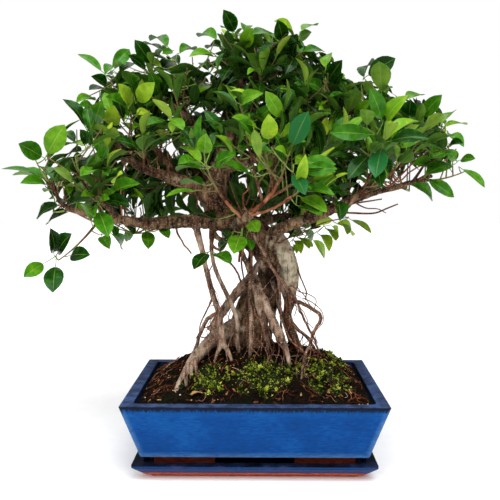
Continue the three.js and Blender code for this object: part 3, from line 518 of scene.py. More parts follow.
def grow(name, mesh, tree, values):
    """Puts a mesh through a Geometry Nodes tree whose inputs are given by name."""
    piece = new_object(name, mesh)
    modifier = piece.modifiers.new("Grow", "NODES")
    modifier.node_group = tree
    for item in tree.interface.items_tree:
        if item.item_type == "SOCKET" and item.in_out == "INPUT" and item.name in values:
            modifier[item.identifier] = values[item.name]
    return apply_modifiers(piece)


def new_tree(name, inputs):
    """A Geometry Nodes tree with a mesh input and these named inputs. Returns it with its ends."""
    tree = bpy.data.node_groups.new(name, "GeometryNodeTree")
    tree.interface.new_socket(name="Mesh", in_out="INPUT", socket_type="NodeSocketGeometry")
    for label, kind, default in inputs:
        socket = tree.interface.new_socket(name=label, in_out="INPUT", socket_type="NodeSocket" + kind)
        if default is not None:
            socket.default_value = default
    tree.interface.new_socket(name="Mesh", in_out="OUTPUT", socket_type="NodeSocketGeometry")
    given = tree.nodes.new("NodeGroupInput")
    made = tree.nodes.new("NodeGroupOutput")
    return tree, given.outputs, made


def smooth_faces(piece):
    piece.data.polygons.foreach_set("use_smooth", [True] * len(piece.data.polygons))
    piece.data.update()


def hand_over(piece, node):
    """The piece rides on the only body, and stands for a CAD node, which is hidden."""
    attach(piece, "root")
    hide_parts(node)


def unit(vector):
    return vector / max(float(np.linalg.norm(vector)), 1e-9)


def mix(a, b, share):
    return a + (b - a) * share


def step_lengths(rows):
    return np.linalg.norm(np.diff(rows[:, :3], axis=0), axis=1)


def columns_at(rows, at, known):
    """The line's columns at these places, given at the known ones."""
    return np.stack([np.interp(at, known, rows[:, k]) for k in range(rows.shape[1])], axis=-1)


def view_axes():
    """The camera's forward, right and up directions."""
    yaw, pitch = CAMERA["yaw"], CAMERA["pitch"]
    forward = np.array([math.sin(yaw) * math.cos(pitch), math.cos(yaw) * math.cos(pitch), -math.sin(pitch)])
    right = np.array([math.cos(yaw), -math.sin(yaw), 0.0])
    return forward, right, np.cross(right, forward)


def seen(px, py, depth):
    """The point in mm that shows at a pixel of the picture, at a given y."""
    forward, right, up = view_axes()
    eye = np.array(CAMERA["place"])
    half = PICTURE / 2
    ray = forward + right * (px - half) / CAMERA["focal_px"] + up * (half - py) / CAMERA["focal_px"]
    return eye + ray * (depth - eye[1]) / ray[1]


def pixel(place):
    """The pixel at which a point in mm shows."""
    forward, right, up = view_axes()
    away = np.asarray(place, float) - np.array(CAMERA["place"])
    far = away @ forward
    half = PICTURE / 2
    scale = CAMERA["focal_px"] / far
    return np.stack([half + scale * (away @ right), half - scale * (away @ up)], axis=-1)


SPAN_STEPS = 16


def smooth_line(points, spacing):
    """A smooth curve through the points, as rows x, y, z, radius at even steps near the spacing."""
    points = np.array(points, float)
    places = points[:, :3]
    ends = np.vstack([2 * places[0] - places[1], places, 2 * places[-1] - places[-2]])
    rows = []
    for i in range(len(places) - 1):
        p = ends[i : i + 4]
        knots = np.concatenate([[0], np.cumsum(step_lengths(p) ** 0.5)])
        share = np.linspace(0, 1, SPAN_STEPS + 1)[: SPAN_STEPS + (i == len(places) - 2)]
        t = (knots[1] + (knots[2] - knots[1]) * share)[:, None]
        near = [p[k] + (p[k + 1] - p[k]) * (t - knots[k]) / (knots[k + 1] - knots[k]) for k in range(3)]
        far = [
            near[k] + (near[k + 1] - near[k]) * (t - knots[k]) / (knots[k + 2] - knots[k]) for k in (0, 1)
        ]
        place = far[0] + (far[1] - far[0]) * (t - knots[1]) / (knots[2] - knots[1])
        radius = mix(points[i, 3], points[i + 1, 3], share)[:, None]
        rows.append(np.hstack([place, radius]))
    return even_steps(np.vstack(rows), spacing)


def even_steps(rows, spacing):
    """The same line at even steps, at least two of them."""
    along = np.concatenate([[0], np.cumsum(step_lengths(rows))])
    steps = max(2, math.ceil(along[-1] / spacing))
    return columns_at(rows, np.linspace(0, along[-1], steps + 1), along)


def part_of(rows, start, end, count=9):
    """The part of an even line between two shares of its length."""
    return columns_at(rows, np.linspace(start, end, count) * (len(rows) - 1), np.arange(len(rows)))


def with_radius(line, first, last):
    return np.hstack([line[:, :3], np.linspace(first, last, len(line))[:, None]])


def bowed(start, end, sag, first, last, count=9):
    """A line between two points that bends down in its middle."""
    middle = (start + end) / 2 - UP * sag
    t = np.linspace(0, 1, count)[:, None]
    return with_radius((1 - t) ** 2 * start + 2 * t * (1 - t) * middle + t * t * end, first, last)


def lines_mesh(name, lines):
    """Poly-lines in metres with their radius. A line is rows x, y, z, radius, and a dict of further marks."""
    corners, edges, radius, marks = [], [], [], {}
    for rows, values in lines:
        first = len(corners)
        corners.extend(rows[:, :3] * MM)
        radius.extend(rows[:, 3] * MM)
        edges.extend((first + i, first + i + 1) for i in range(len(rows) - 1))
        for key, value in values.items():
            marks.setdefault(key, []).extend([value] * len(rows))
    mesh = new_mesh(name, corners, edges=edges)
    set_attribute(mesh, "radius", radius)
    for key, values in marks.items():
        set_attribute(mesh, key, values)
    return mesh


def add_tubes(tree, mesh, sides):
    """Adds closed tubes along the mesh's edges, each as thick as its radius attribute says."""
    curves = add(tree, "GeometryNodeMeshToCurve", {"Mesh": mesh})
    radius = add(tree, "GeometryNodeInputNamedAttribute", {"Name": "radius"})
    ring = add(tree, "GeometryNodeCurvePrimitiveCircle", {"Resolution": sides, "Radius": 1.0})
    sockets = {"Curve": curves, "Profile Curve": ring, "Scale": radius, "Fill Caps": True}
    return add(tree, "GeometryNodeCurveToMesh", sockets)


def finish_tree(tree, geometry, given, made):
    """Makes real faces of the geometry, in the given material, the tree's result."""
    whole = add(tree, "GeometryNodeRealizeInstances", {"Geometry": geometry})
    worn = add(tree, "GeometryNodeSetMaterial", {"Geometry": whole, "Material": given["Material"]})
    fill(tree, made, [worn])
    return tree


def sweep_tree():
    """Tubes along the mesh's edges."""
    tree, given, made = new_tree("Tubes along lines", [("Sides", "Int", 8), ("Material", "Material", None)])
    return finish_tree(tree, add_tubes(tree, given["Mesh"], given["Sides"]), given, made)


TINT_SEED = 77


def scatter_tree(name):
    """Copies of a collection's shapes on the mesh's faces, turned and sized at random."""
    inputs = [
        ("Shapes", "Collection", None), ("Per square metre", "Float", 1000.0), ("Smallest", "Float", 0.6),
        ("Largest", "Float", 1.4), ("Tilt", "Float", 0.4), ("Seed", "Int", 1),
        ("Material", "Material", None),
    ]
    tree, given, made = new_tree(name, inputs)
    seed = given["Seed"]
    allowed = add(tree, "GeometryNodeInputNamedAttribute", {"Name": "scatter"})
    density = add(tree, "Math", [allowed, given["Per square metre"]], operation="MULTIPLY")
    sockets = {"Mesh": given["Mesh"], "Density": density, "Seed": seed}
    points = add(tree, "GeometryNodeDistributePointsOnFaces", sockets)
    sockets = {0: (-1.0, -1.0, -math.pi), 1: (1.0, 1.0, math.pi), "Seed": seed}
    tilt = add(tree, "FunctionNodeRandomValue", sockets, data_type="FLOAT_VECTOR")
    spread = add(tree, "CombineXYZ", [given["Tilt"], given["Tilt"], 1.0])
    turned = add(tree, "VectorMath", [tilt, spread], operation="MULTIPLY")
    turn = add(tree, "FunctionNodeEulerToRotation", [turned])
    sockets = [points.outputs["Rotation"], turn]
    rotation = add(tree, "FunctionNodeRotateRotation", sockets, rotation_space="LOCAL")
    size = add(tree, "FunctionNodeRandomValue", {2: given["Smallest"], 3: given["Largest"], "Seed": seed})
    sockets = {"Collection": given["Shapes"], "Separate Children": True, "Reset Children": True}
    shapes = add(tree, "GeometryNodeCollectionInfo", sockets)
    tint = add(tree, "FunctionNodeRandomValue", {2: 0.0, 3: 1.0, "Seed": TINT_SEED})
    sockets = {"Geometry": points.outputs["Points"], "Name": "tint", "Value": tint}
    marked = add(tree, "GeometryNodeStoreNamedAttribute", sockets)
    sockets = {
        "Points": marked, "Instance": shapes, "Pick Instance": True, "Rotation": rotation, "Scale": size,
    }
    copies = add(tree, "GeometryNodeInstanceOnPoints", sockets)
    return finish_tree(tree, copies, given, made)


def shape_collection(name, meshes):
    """A collection of small shapes that only Geometry Nodes read. It isn't linked to the scene."""
    collection = bpy.data.collections.new(name)
    for i, mesh in enumerate(meshes):
        collection.objects.link(bpy.data.objects.new(f"{name}_{i}", mesh))
    return collection


def joined(name, pieces):
    """One object out of several plain meshes that lie at the origin."""
    whole = bmesh.new()
    materials = []
    for piece in pieces:
        for material in piece.data.materials:
            if material not in materials:
                materials.append(material)
    target = bpy.data.meshes.new(name)
    for material in materials:
        target.materials.append(material)
    for piece in pieces:
        index = [materials.index(m) for m in piece.data.materials] or [0]
        slots = np.zeros(len(piece.data.polygons), np.int32)
        piece.data.polygons.foreach_get("material_index", slots)
        piece.data.polygons.foreach_set("material_index", np.array(index, np.int32)[slots])
        whole.from_mesh(piece.data)
    whole.to_mesh(target)
    whole.free()
    for piece in pieces:
        bpy.data.objects.remove(piece)
    return new_object(name, target)


def pebble(name, seed, stretch):
    """A small lump of 20 faces, about one unit across."""
    source = random.Random(seed)
    whole = bmesh.new()
    bmesh.ops.create_icosphere(whole, subdivisions=1, radius=0.5)
    for vertex in whole.verts:
        vertex.co *= source.uniform(0.7, 1.15)
        vertex.co = Vector([c * s for c, s in zip(vertex.co, stretch)])
    mesh = bpy.data.meshes.new(name)
    whole.to_mesh(mesh)
    whole.free()
    return mesh


# ---------------------------------------------------------------- materials


CLAY_WANDER = 0.0006
PALE_BAND = 0.009


def glaze_material(name, rim_height, fringe, clay_height, foot_shade_height, painted_top_colours, sloping):
    """Cobalt stoneware glaze, dipped and fired: a glassy coat, mottled where it pooled, that breaks to
    brown at the edges, where it ran thin, over bare terracotta. IOR 1.5, roughness 0.24 to 0.4."""
    sizes = bpy.context.scene.bonsai_pottery
    material, tree, shader, place = new_material(name, IOR=1.5, Specular_IOR_Level=0.07)
    height = add(tree, "SeparateXYZ", [place]).outputs["Z"]
    facing = add(tree, "SeparateXYZ", [add(tree, "NewGeometry").outputs["Normal"]]).outputs["Z"]
    down = add(tree, "Math", [rim_height, height], operation="SUBTRACT")
    # Clouds 60 mm wide where the glaze pooled, and brush streaks 2 mm tall and 10 mm long.
    cloud = add(tree, "TexNoise", {"Vector": place, "Scale": 17.0, "Detail": 3.0})
    level = add(tree, "VectorMath", [place, (0.25, 0.25, 1.0)], operation="MULTIPLY")
    mottle = add(tree, "TexNoise", {"Vector": level, "Scale": 420.0, "Detail": 4.0, "Roughness": 0.6})
    both = add(tree, "Math", [cloud, mottle], operation="ADD")
    half = add(tree, "Math", [both, 0.5], operation="MULTIPLY")
    stops = [(0.3, sizes.glaze_deep), (0.5, sizes.glaze), (0.72, sizes.glaze_light)]
    body = add(tree, "ValToRGB", [half], stops)
    # Pinholes and iron specks about 1 mm wide, in loose groups.
    speck = add(tree, "TexVoronoi", {"Vector": place, "Scale": 300.0})
    group = add(tree, "TexNoise", {"Vector": place, "Scale": 90.0, "Detail": 1.0})
    reach = add(tree, "MapRange", [group, 0.52, 0.75, 0.0, 0.2])
    specks = add(tree, "Math", [speck, reach], operation="LESS_THAN")
    coat = add(tree, "Mix", {0: specks, 6: body, 7: "#123260"}, data_type="RGBA")
    if sloping:
        # Along the pot's four sloping corners and its foot the glaze is paler.
        sides = add(tree, "VectorMath", [place], operation="ABSOLUTE")
        sides = add(tree, "SeparateXYZ", [sides]).outputs
        slope = POT["taper"] / (POT["rim"] - POT["underside"])
        drawn_in = add(tree, "Math", [down, slope], operation="MULTIPLY")
        gap_x = add(tree, "Math", [POT["length"] / 2 * MM, sides["X"]], operation="SUBTRACT")
        gap_y = add(tree, "Math", [POT["width"] / 2 * MM, sides["Y"]], operation="SUBTRACT")
        farther = add(tree, "Math", [gap_x, gap_y], operation="MAXIMUM")
        from_corner = add(tree, "Math", [farther, drawn_in], operation="SUBTRACT")
        from_foot = add(tree, "Math", [height, POT["underside"] * MM], operation="SUBTRACT")
        nearest = add(tree, "Math", [from_corner, from_foot], operation="MINIMUM")
        paler = add(tree, "MapRange", [nearest, 0.0, PALE_BAND, 0.55, 0.0])
        pale_corners = add(tree, "Math", [paler, mottle], operation="MULTIPLY")
        coat = add(tree, "Mix", {0: pale_corners, 6: coat, 7: "#7fb2dd"}, data_type="RGBA")
    # The fringe under the rim, where thick glaze ran and burned. Its lower border is ragged, and just
    # below it the glaze is thick and brighter.
    bright = add(tree, "MapRange", [down, fringe * 1.2, fringe * 3.0, 0.35, 0.0])
    banded = add(tree, "Mix", {0: bright, 6: coat, 7: (*sizes.glaze_light, 1.0)}, data_type="RGBA")
    upright = add(tree, "VectorMath", [place, (1.0, 1.0, 0.2)], operation="MULTIPLY")
    ragged = add(tree, "TexNoise", {"Vector": upright, "Scale": 420.0, "Detail": 3.0})
    drop = add(tree, "MapRange", [ragged, 0.3, 0.7, fringe * 0.6, fringe * 1.4])
    inside = add(tree, "Math", [drop, down], operation="SUBTRACT")
    burned = add(tree, "MapRange", [inside, -0.0028, 0.0024, 0.0, 0.95])
    fringed = add(tree, "Mix", {0: burned, 6: banded, 7: "#0b1020"}, data_type="RGBA")
    # Painted light on the level tops: they take their own colours by which way they face, greyer on the pot's
    # rim and near black on the saucer's flange, which the pot shades, with deeper patches.
    patch = add(tree, "TexNoise", {"Vector": place, "Scale": 48.0, "Detail": 5.0, "Roughness": 0.6})
    top = add(tree, "ValToRGB", [patch], [(0.36 + 0.11 * i, hue) for i, hue in enumerate(painted_top_colours)])
    painted_top_share = add(tree, "MapRange", [facing, 0.75, 0.95, 0.0, 1.0])
    topped = add(tree, "Mix", {0: painted_top_share, 6: fringed, 7: top}, data_type="RGBA")
    # Painted shade: where the glaze faces down it is darker.
    underside_shade = add(tree, "MapRange", [facing, -0.4, -0.6, 0.0, 0.8])
    shaded_underside = add(tree, "Mix", {0: underside_shade, 6: topped, 7: "#052450"}, data_type="RGBA")
    # Edges, where the glaze drew back to a brown line with dark breaks.
    edge = add(tree, "Attribute", attribute_name="edge").outputs["Fac"]
    worn = add(tree, "MapRange", [mottle, 0.42, 0.6, 0.55, 1.0])
    thin = add(tree, "Math", [edge, worn], operation="MULTIPLY")
    brown = add(tree, "ValToRGB", [patch], [(0.4, "#050508"), (0.55, "#130d0c"), (0.74, "#54331f")])
    edged = add(tree, "Mix", {0: thin, 6: shaded_underside, 7: brown}, data_type="RGBA")
    # Bare clay below the glaze line, which wanders a little, and on the underside.
    clay = add(tree, "ValToRGB", [mottle], [(0.36, "#8c3820"), (0.52, "#b34c30"), (0.68, "#c76746")])
    wander = add(tree, "MapRange", [ragged, 0.3, 0.7, -CLAY_WANDER, CLAY_WANDER])
    line = add(tree, "Math", [height, wander], operation="ADD")
    bare = add(tree, "Math", [line, clay_height], operation="LESS_THAN")
    under = add(tree, "Math", [facing, -0.9], operation="LESS_THAN")
    clay_mask = add(tree, "Math", [bare, under], operation="MAXIMUM")
    # Painted shade: the lowest band of the bare clay is darkened, where the pot's feet lie in shade over the
    # saucer.
    foot_shade = add(tree, "MapRange", [line, foot_shade_height - CLAY_WANDER, foot_shade_height, 0.5, 0.0])
    shaded_foot = add(tree, "Mix", {0: foot_shade, 6: clay, 7: "#140c0a"}, data_type="RGBA")
    colour = add(tree, "Mix", {0: clay_mask, 6: edged, 7: shaded_foot}, data_type="RGBA")
    gloss = add(tree, "MapRange", [mottle, 0.3, 0.7, 0.24, 0.4])
    rough = add(tree, "Mix", {0: clay_mask, 2: gloss, 3: 0.85})
    bump = add(tree, "Bump", {"Strength": 0.2, "Distance": 0.0004, "Height": both})
    fill(tree, shader, {"Base Color": colour, "Roughness": rough, "Normal": bump})
    return material


def soil_material():
    """Damp potting soil, peat with bark fines: near black, matt, with brown and reddish grains 1 to 4 mm
    wide. IOR 1.33 for its film of water, roughness about 0.9."""
    material, tree, shader, place = new_material("Damp potting soil", IOR=1.33, Specular_IOR_Level=0.06)
    grain = add(tree, "TexVoronoi", {"Vector": place, "Scale": 420.0})
    clump = add(tree, "TexNoise", {"Vector": place, "Scale": 130.0, "Detail": 5.0, "Roughness": 0.7})
    both = add(tree, "Mix", {0: 0.5, 2: clump, 3: grain.outputs["Color"]})
    colour = add(
        tree, "ValToRGB", [both],
        stops=[(0.25, "#040302"), (0.45, "#0b0805"), (0.62, "#150e09"), (0.8, "#2a1b10")],
    )
    # Patches of green film where it stays wet, 30 mm wide.
    film = add(tree, "TexNoise", {"Vector": place, "Scale": 34.0, "Detail": 4.0})
    green = add(tree, "MapRange", [film, 0.48, 0.66, 0.0, 0.6])
    tinted = add(tree, "Mix", {0: green, 6: colour, 7: "#12170a"}, data_type="RGBA")
    rough = add(tree, "MapRange", [clump, 0.3, 0.7, 0.7, 0.98])
    bump = add(tree, "Bump", {"Strength": 0.8, "Distance": 0.0012, "Height": grain})
    fill(tree, shader, {"Base Color": tinted, "Roughness": rough, "Normal": bump})
    return material


def scrap_material(name, stops, roughness):
    """Loose bits on the soil, such as bark chips, perlite or fibres: each bit has its own tint, and is
    mottled at 1 mm. Matt, with a roughness near that of dry wood or chalk."""
    material, tree, shader, place = new_material(
        name, IOR=1.45, Roughness=roughness, Specular_IOR_Level=0.1,
    )
    tint = add(tree, "Attribute", attribute_name="tint")
    mottle = add(tree, "TexNoise", {"Vector": place, "Scale": 700.0, "Detail": 3.0})
    both = add(tree, "Mix", {0: 0.35, 2: tint.outputs["Fac"], 3: mottle})
    colour = add(tree, "ValToRGB", [both], stops=stops)
    bump = add(tree, "Bump", {"Strength": 0.6, "Distance": 0.0005, "Height": mottle})
    fill(tree, shader, {"Base Color": colour, "Normal": bump})
    return material


def moss_material():
    """Living moss and pearlwort: soft leaflets 1 to 3 mm long, bright yellow-green at the tips and olive
    lower down, with patches 20 mm wide, and painted shade that darkens their bases and the cushion under
    them. Roughness about 0.6."""
    material, tree, shader, place = new_material("Moss", IOR=1.4, Roughness=0.6, Specular_IOR_Level=0.12)
    tint = add(tree, "Attribute", attribute_name="tint")
    tip = add(tree, "Attribute", attribute_name="tip")
    patch = add(tree, "TexNoise", {"Vector": place, "Scale": 60.0, "Detail": 3.0})
    both = add(tree, "Mix", {0: 0.45, 2: tint.outputs["Fac"], 3: patch})
    leaf = add(
        tree, "ValToRGB", [both],
        stops=[(0.3, "#0c1003"), (0.42, "#262f08"), (0.53, "#60751a"), (0.64, "#a9bb33"), (0.78, "#dde26a")],
    )
    # Painted shade: the leaflets darken toward their bases, to near black.
    shade = add(tree, "MapRange", [tip.outputs["Fac"], 0.0, 0.9, 0.93, 0.0])
    colour = add(tree, "Mix", {0: shade, 6: leaf, 7: "#141a08"}, data_type="RGBA")
    fill(tree, shader, {"Base Color": colour})
    return material


def bark_material():
    """Fig bark: thin, grey-brown and tight, with pale corky pores in crosswise dashes, cream lichen on old
    wood and reddish skin on young roots, and painted shade in its hollows and between close limbs. Roughness
    about 0.8."""
    sizes = bpy.context.scene.bonsai_wood
    material, tree, shader, place = new_material("Fig bark", IOR=1.45, Specular_IOR_Level=0.12)
    names = ("thick", "young", "root", "pale", "hollow")
    marks = [add(tree, "Attribute", attribute_name=name).outputs["Fac"] for name in names]
    thick, young, root, pale, sunk = marks
    # Fissures run up the limbs: noise 4 mm wide and 20 mm tall.
    upright = add(tree, "VectorMath", [place, (1.0, 1.0, 0.22)], operation="MULTIPLY")
    fissure = add(tree, "TexNoise", {"Vector": upright, "Scale": 230.0, "Detail": 5.0, "Roughness": 0.7})
    cloud = add(tree, "TexNoise", {"Vector": place, "Scale": 45.0, "Detail": 3.0})
    both = add(tree, "Mix", {0: 0.45, 2: fissure, 3: cloud})
    old = add(
        tree, "ValToRGB", [both],
        stops=[(0.37, "#1b120c"), (0.46, "#4b3525"), (0.54, "#73563d"), (0.64, "#a2866b")],
    )
    rooty = add(
        tree, "ValToRGB", [both],
        stops=[(0.37, "#3c2a20"), (0.46, "#775c4c"), (0.54, "#a08470"), (0.64, "#cdb8a3")],
    )
    barked = add(tree, "Mix", {0: root, 6: old, 7: rooty}, data_type="RGBA")
    # Thin wood and thin roots have a redder skin.
    skin = add(tree, "ValToRGB", [both], stops=[(0.35, "#361a10"), (0.5, "#693824"), (0.68, "#94593d")])
    slim = add(tree, "MapRange", [thick, 0.0012, 0.0032, 0.85, 0.0])
    pale_corners = add(tree, "Mix", {0: slim, 6: barked, 7: skin}, data_type="RGBA")
    # Pores: short pale dashes, about 0.8 mm by 1.6 mm and 3 mm apart, drawn a little coarser than real.
    dash_place = add(tree, "VectorMath", [place, (0.6, 0.6, 1.0)], operation="MULTIPLY")
    dash = add(tree, "TexVoronoi", {"Vector": dash_place, "Scale": 420.0})
    pore = add(tree, "MapRange", [dash, 0.2, 0.36, 0.6, 0.0])
    clear = add(tree, "MapRange", {0: root, 3: 0.45, 4: 1.0})
    pore = add(tree, "Math", [pore, clear], operation="MULTIPLY")
    pored = add(tree, "Mix", {0: pore, 6: pale_corners, 7: "#cbbca6"}, data_type="RGBA")
    # Lichen: cream to grey-green crusts 8 mm wide, on thick wood only.
    crust = add(tree, "TexNoise", {"Vector": place, "Scale": 95.0, "Detail": 5.0, "Roughness": 0.6})
    crusted = add(tree, "MapRange", [crust, 0.56, 0.64, 0.0, 0.75])
    stout = add(tree, "MapRange", [thick, 0.006, 0.013, 0.0, 1.0])
    lichen = add(tree, "Math", [crusted, stout], operation="MULTIPLY")
    crusty = add(tree, "Mix", {0: lichen, 6: pored, 7: "#b5ae93"}, data_type="RGBA")
    # The column on the right is the palest wood, crusted from top to bottom.
    bleach = add(tree, "MapRange", [crust, 0.4, 0.58, 0.35, 0.95])
    bleached = add(tree, "Math", [pale, bleach], operation="MULTIPLY")
    aged = add(tree, "Mix", {0: bleached, 6: crusty, 7: "#d0c4a9"}, data_type="RGBA")
    # Young shoots of the burr are smooth and orange-red.
    fresh = add(tree, "ValToRGB", [cloud], stops=[(0.35, "#6f3a26"), (0.52, "#a05f43"), (0.7, "#c48a6a")])
    skinned = add(tree, "Mix", {0: young, 6: aged, 7: fresh}, data_type="RGBA")
    # Dust and shade in the hollows.
    hollow = add(tree, "MapRange", [fissure, 0.34, 0.48, 0.75, 0.0])
    calm = add(tree, "Math", [1.0, young], operation="SUBTRACT")
    deep = add(tree, "Math", [hollow, calm], operation="MULTIPLY")
    dusty = add(tree, "Mix", {0: deep, 6: skinned, 7: "#1d1612"}, data_type="RGBA")
    # Painted shade: the trunk's front hollow is darkened.
    dark = add(tree, "MapRange", [sunk, 0.15, 0.6, 0.0, 0.85])
    # Painted shade: the wood is darkened where limbs lie within 30 mm of each other.
    shelter = add(tree, "AmbientOcclusion", {"Distance": 0.03}, samples=8).outputs["AO"]
    crevice_shade = add(tree, "MapRange", [shelter, 0.2, 0.72, 0.85, 0.0])
    shade_mask = add(tree, "Math", [dark, crevice_shade], operation="MAXIMUM")
    colour = add(tree, "Mix", {0: shade_mask, 6: dusty, 7: "#120c09"}, data_type="RGBA")
    rough = add(tree, "MapRange", [young, 0.0, 1.0, 0.85, 0.5])
    relief = add(tree, "Math", [fissure, pore], operation="ADD")
    bump = add(tree, "Bump", {"Strength": sizes.relief, "Distance": 0.0012, "Height": relief})
    fill(tree, shader, {"Base Color": colour, "Roughness": rough, "Normal": bump})
    return material


SIDE_VEINS = 14


def leaf_material():
    """Fig leaf: leathery, with a waxed upper side that mirrors the lamps and a pale, duller underside. The
    midrib is a pale line with fine side veins. IOR 1.45, roughness 0.17 to 0.31 above and 0.55 below."""
    material, tree, shader, place = new_material(
        "Fig leaf", IOR=1.45, Specular_IOR_Level=0.27, Specular_Tint="#a8e6b4", Subsurface_Weight=0.06,
        Subsurface_Scale=0.002, Subsurface_Radius=(0.35, 1.0, 0.15),
    )
    names = ("tone", "across", "along", "under")
    marks = [add(tree, "Attribute", attribute_name=name).outputs["Fac"] for name in names]
    tone, across, along, under = marks
    mottle = add(tree, "TexNoise", {"Vector": place, "Scale": 110.0, "Detail": 3.0})
    shift = add(tree, "MapRange", [mottle, 0.3, 0.7, -0.09, 0.09])
    toned = add(tree, "Math", [tone, shift], operation="ADD")
    upper = add(
        tree, "ValToRGB", [toned],
        stops=[(0.0, "#081a03"), (0.18, "#143c08"), (0.4, "#3a7410"), (0.64, "#6f9f1b"), (0.9, "#b0c936")],
    )
    # Painted sheen: a few broad leaves that mirror the sky get a blue-green colour.
    sheen_share = add(tree, "MapRange", [tone, -0.2, -0.5, 0.0, 1.0])
    upper = add(tree, "Mix", {0: sheen_share, 6: upper, 7: "#1a5629"}, data_type="RGBA")
    # Side veins leave the midrib at a slant.
    out = add(tree, "Math", [across], operation="ABSOLUTE")
    slant = add(tree, "Math", [out, 0.16], operation="MULTIPLY")
    run = add(tree, "Math", [along, slant], operation="SUBTRACT")
    wave = add(tree, "Math", [run, SIDE_VEINS * math.tau], operation="MULTIPLY")
    sine = add(tree, "Math", [wave], operation="SINE")
    vein = add(tree, "MapRange", [sine, 0.6, 1.0, 0.0, 0.045])
    veined = add(tree, "Mix", {0: vein, 6: upper, 7: "#86ad3e"}, data_type="RGBA")
    # The midrib stands out more on young leaves.
    strength = add(tree, "MapRange", [tone, 0.0, 0.6, 0.2, 0.42])
    rib = add(tree, "MapRange", [out, 0.01, 0.075, strength, 0.0])
    ribbed = add(tree, "Mix", {0: rib, 6: veined, 7: "#a9c45a"}, data_type="RGBA")
    lower = add(tree, "ValToRGB", [toned], stops=[(0.0, "#2c4a18"), (0.4, "#557a26"), (0.9, "#a3bd45")])
    lower_rib = add(tree, "Mix", {0: rib, 6: lower, 7: "#93ad58"}, data_type="RGBA")
    colour = add(tree, "Mix", {0: under, 6: ribbed, 7: lower_rib}, data_type="RGBA")
    wax = add(tree, "MapRange", [mottle, 0.3, 0.7, 0.17, 0.31])
    rough = add(tree, "Mix", {0: under, 2: wax, 3: 0.55})
    relief = add(tree, "Math", [vein, rib], operation="ADD")
    bump = add(tree, "Bump", {"Strength": 0.35, "Distance": 0.0004, "Height": relief})
    fill(tree, shader, {"Base Color": colour, "Roughness": rough, "Normal": bump})
    return material


def stem_material():
    """Green wood of this year's growth: smooth and slightly waxed, light green turning olive-brown with
    age. Roughness about 0.5."""
    material, tree, shader, place = new_material(
        "Green stem", IOR=1.45, Roughness=0.5, Specular_IOR_Level=0.2,
    )
    woody = add(tree, "Attribute", attribute_name="woody").outputs["Fac"]
    mottle = add(tree, "TexNoise", {"Vector": place, "Scale": 300.0, "Detail": 3.0})
    green = add(tree, "ValToRGB", [mottle], stops=[(0.3, "#5f8a35"), (0.7, "#93b350")])
    brown = add(tree, "ValToRGB", [mottle], stops=[(0.3, "#54402c"), (0.7, "#8a6f4c")])
    colour = add(tree, "Mix", {0: woody, 6: green, 7: brown}, data_type="RGBA")
    fill(tree, shader, {"Base Color": colour})
    return material


def screen_material():
    """Moulded black polypropylene: plain and satin, with a faint tool mark. IOR 1.49, roughness 0.45."""
    material, tree, shader, place = new_material("Moulded polypropylene", IOR=1.49)
    grain = add(tree, "TexNoise", {"Vector": place, "Scale": 900.0, "Detail": 2.0})
    colour = add(tree, "ValToRGB", [grain], stops=[(0.3, "#1c1c1d"), (0.7, "#2c2c2e")])
    rough = add(tree, "MapRange", [grain, 0.3, 0.7, 0.4, 0.55])
    fill(tree, shader, {"Base Color": colour, "Roughness": rough})
    return material


def floor_material():
    """White sweep of a light table: matt, lit a little from within, with a soft grain."""
    material, tree, shader, place = new_material(
        "White sweep", IOR=1.4, Roughness=0.95, Specular_IOR_Level=0.2, Emission_Strength=0.1,
        Emission_Color="#ffffff",
    )
    grain = add(tree, "TexNoise", {"Vector": place, "Scale": 40.0, "Detail": 2.0})
    colour = add(tree, "ValToRGB", [grain], stops=[(0.3, "#f0f0f0"), (0.7, "#f4f4f4")])
    fill(tree, shader, {"Base Color": colour})
    return material


# ---------------------------------------------------------------- pottery, soil and moss


def fired_piece(node, name, rounding, material):
    """A copy of a packed pottery solid with its edges rounded. The rounded strips are marked as edges."""
    whole = bmesh.new()
    whole.from_mesh(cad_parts[node].data)
    layer = whole.faces.layers.float.new("edge")
    bmesh.ops.remove_doubles(whole, verts=whole.verts, dist=1e-5)
    bmesh.ops.dissolve_limit(whole, angle_limit=math.radians(1.5), verts=whole.verts, edges=whole.edges)
    sharp = [e for e in whole.edges if e.is_manifold and e.calc_face_angle(0.0) > math.radians(40)]
    strips = bmesh.ops.bevel(
        whole, geom=sharp, offset=rounding, segments=3, profile=0.5, affect="EDGES", clamp_overlap=True,
    )
    for face in strips["faces"]:
        face[layer] = 1.0
    bmesh.ops.triangulate(whole, faces=[f for f in whole.faces if len(f.verts) > 4])
    mesh = bpy.data.meshes.new(name)
    whole.to_mesh(mesh)
    whole.free()
    piece = new_object(name, mesh)
    mesh.materials.append(material)
    smooth_faces(piece)
    piece.modifiers.new("Weigh", "WEIGHTED_NORMAL")
    return apply_modifiers(piece)


def soil_height(x, y):
    """Height of the soil's surface in mm, at places in plan."""
    reach_x = np.where(x < SOIL["peak"][0], SOIL["reach_left"], SOIL["reach_right"])
    reach_y = np.where(y < SOIL["peak"][1], SOIL["reach_front"], SOIL["reach_back"])
    along_x = np.maximum(0, 1 - (np.abs(x - SOIL["peak"][0]) / reach_x) ** 2.6)
    along_y = np.maximum(0, 1 - (np.abs(y - SOIL["peak"][1]) / reach_y) ** 1.7)
    lumps = np.sin(x / 9 + 1.3) * np.sin(y / 8) + 0.6 * np.sin(x / 21 - y / 13)
    return SOIL["edge"] + SOIL["rise"] * along_x * along_y + SOIL["roughness"] * lumps


def ground(x, y):
    """Height of the soil's surface in mm at one place."""
    return float(soil_height(np.array(x), np.array(y)))


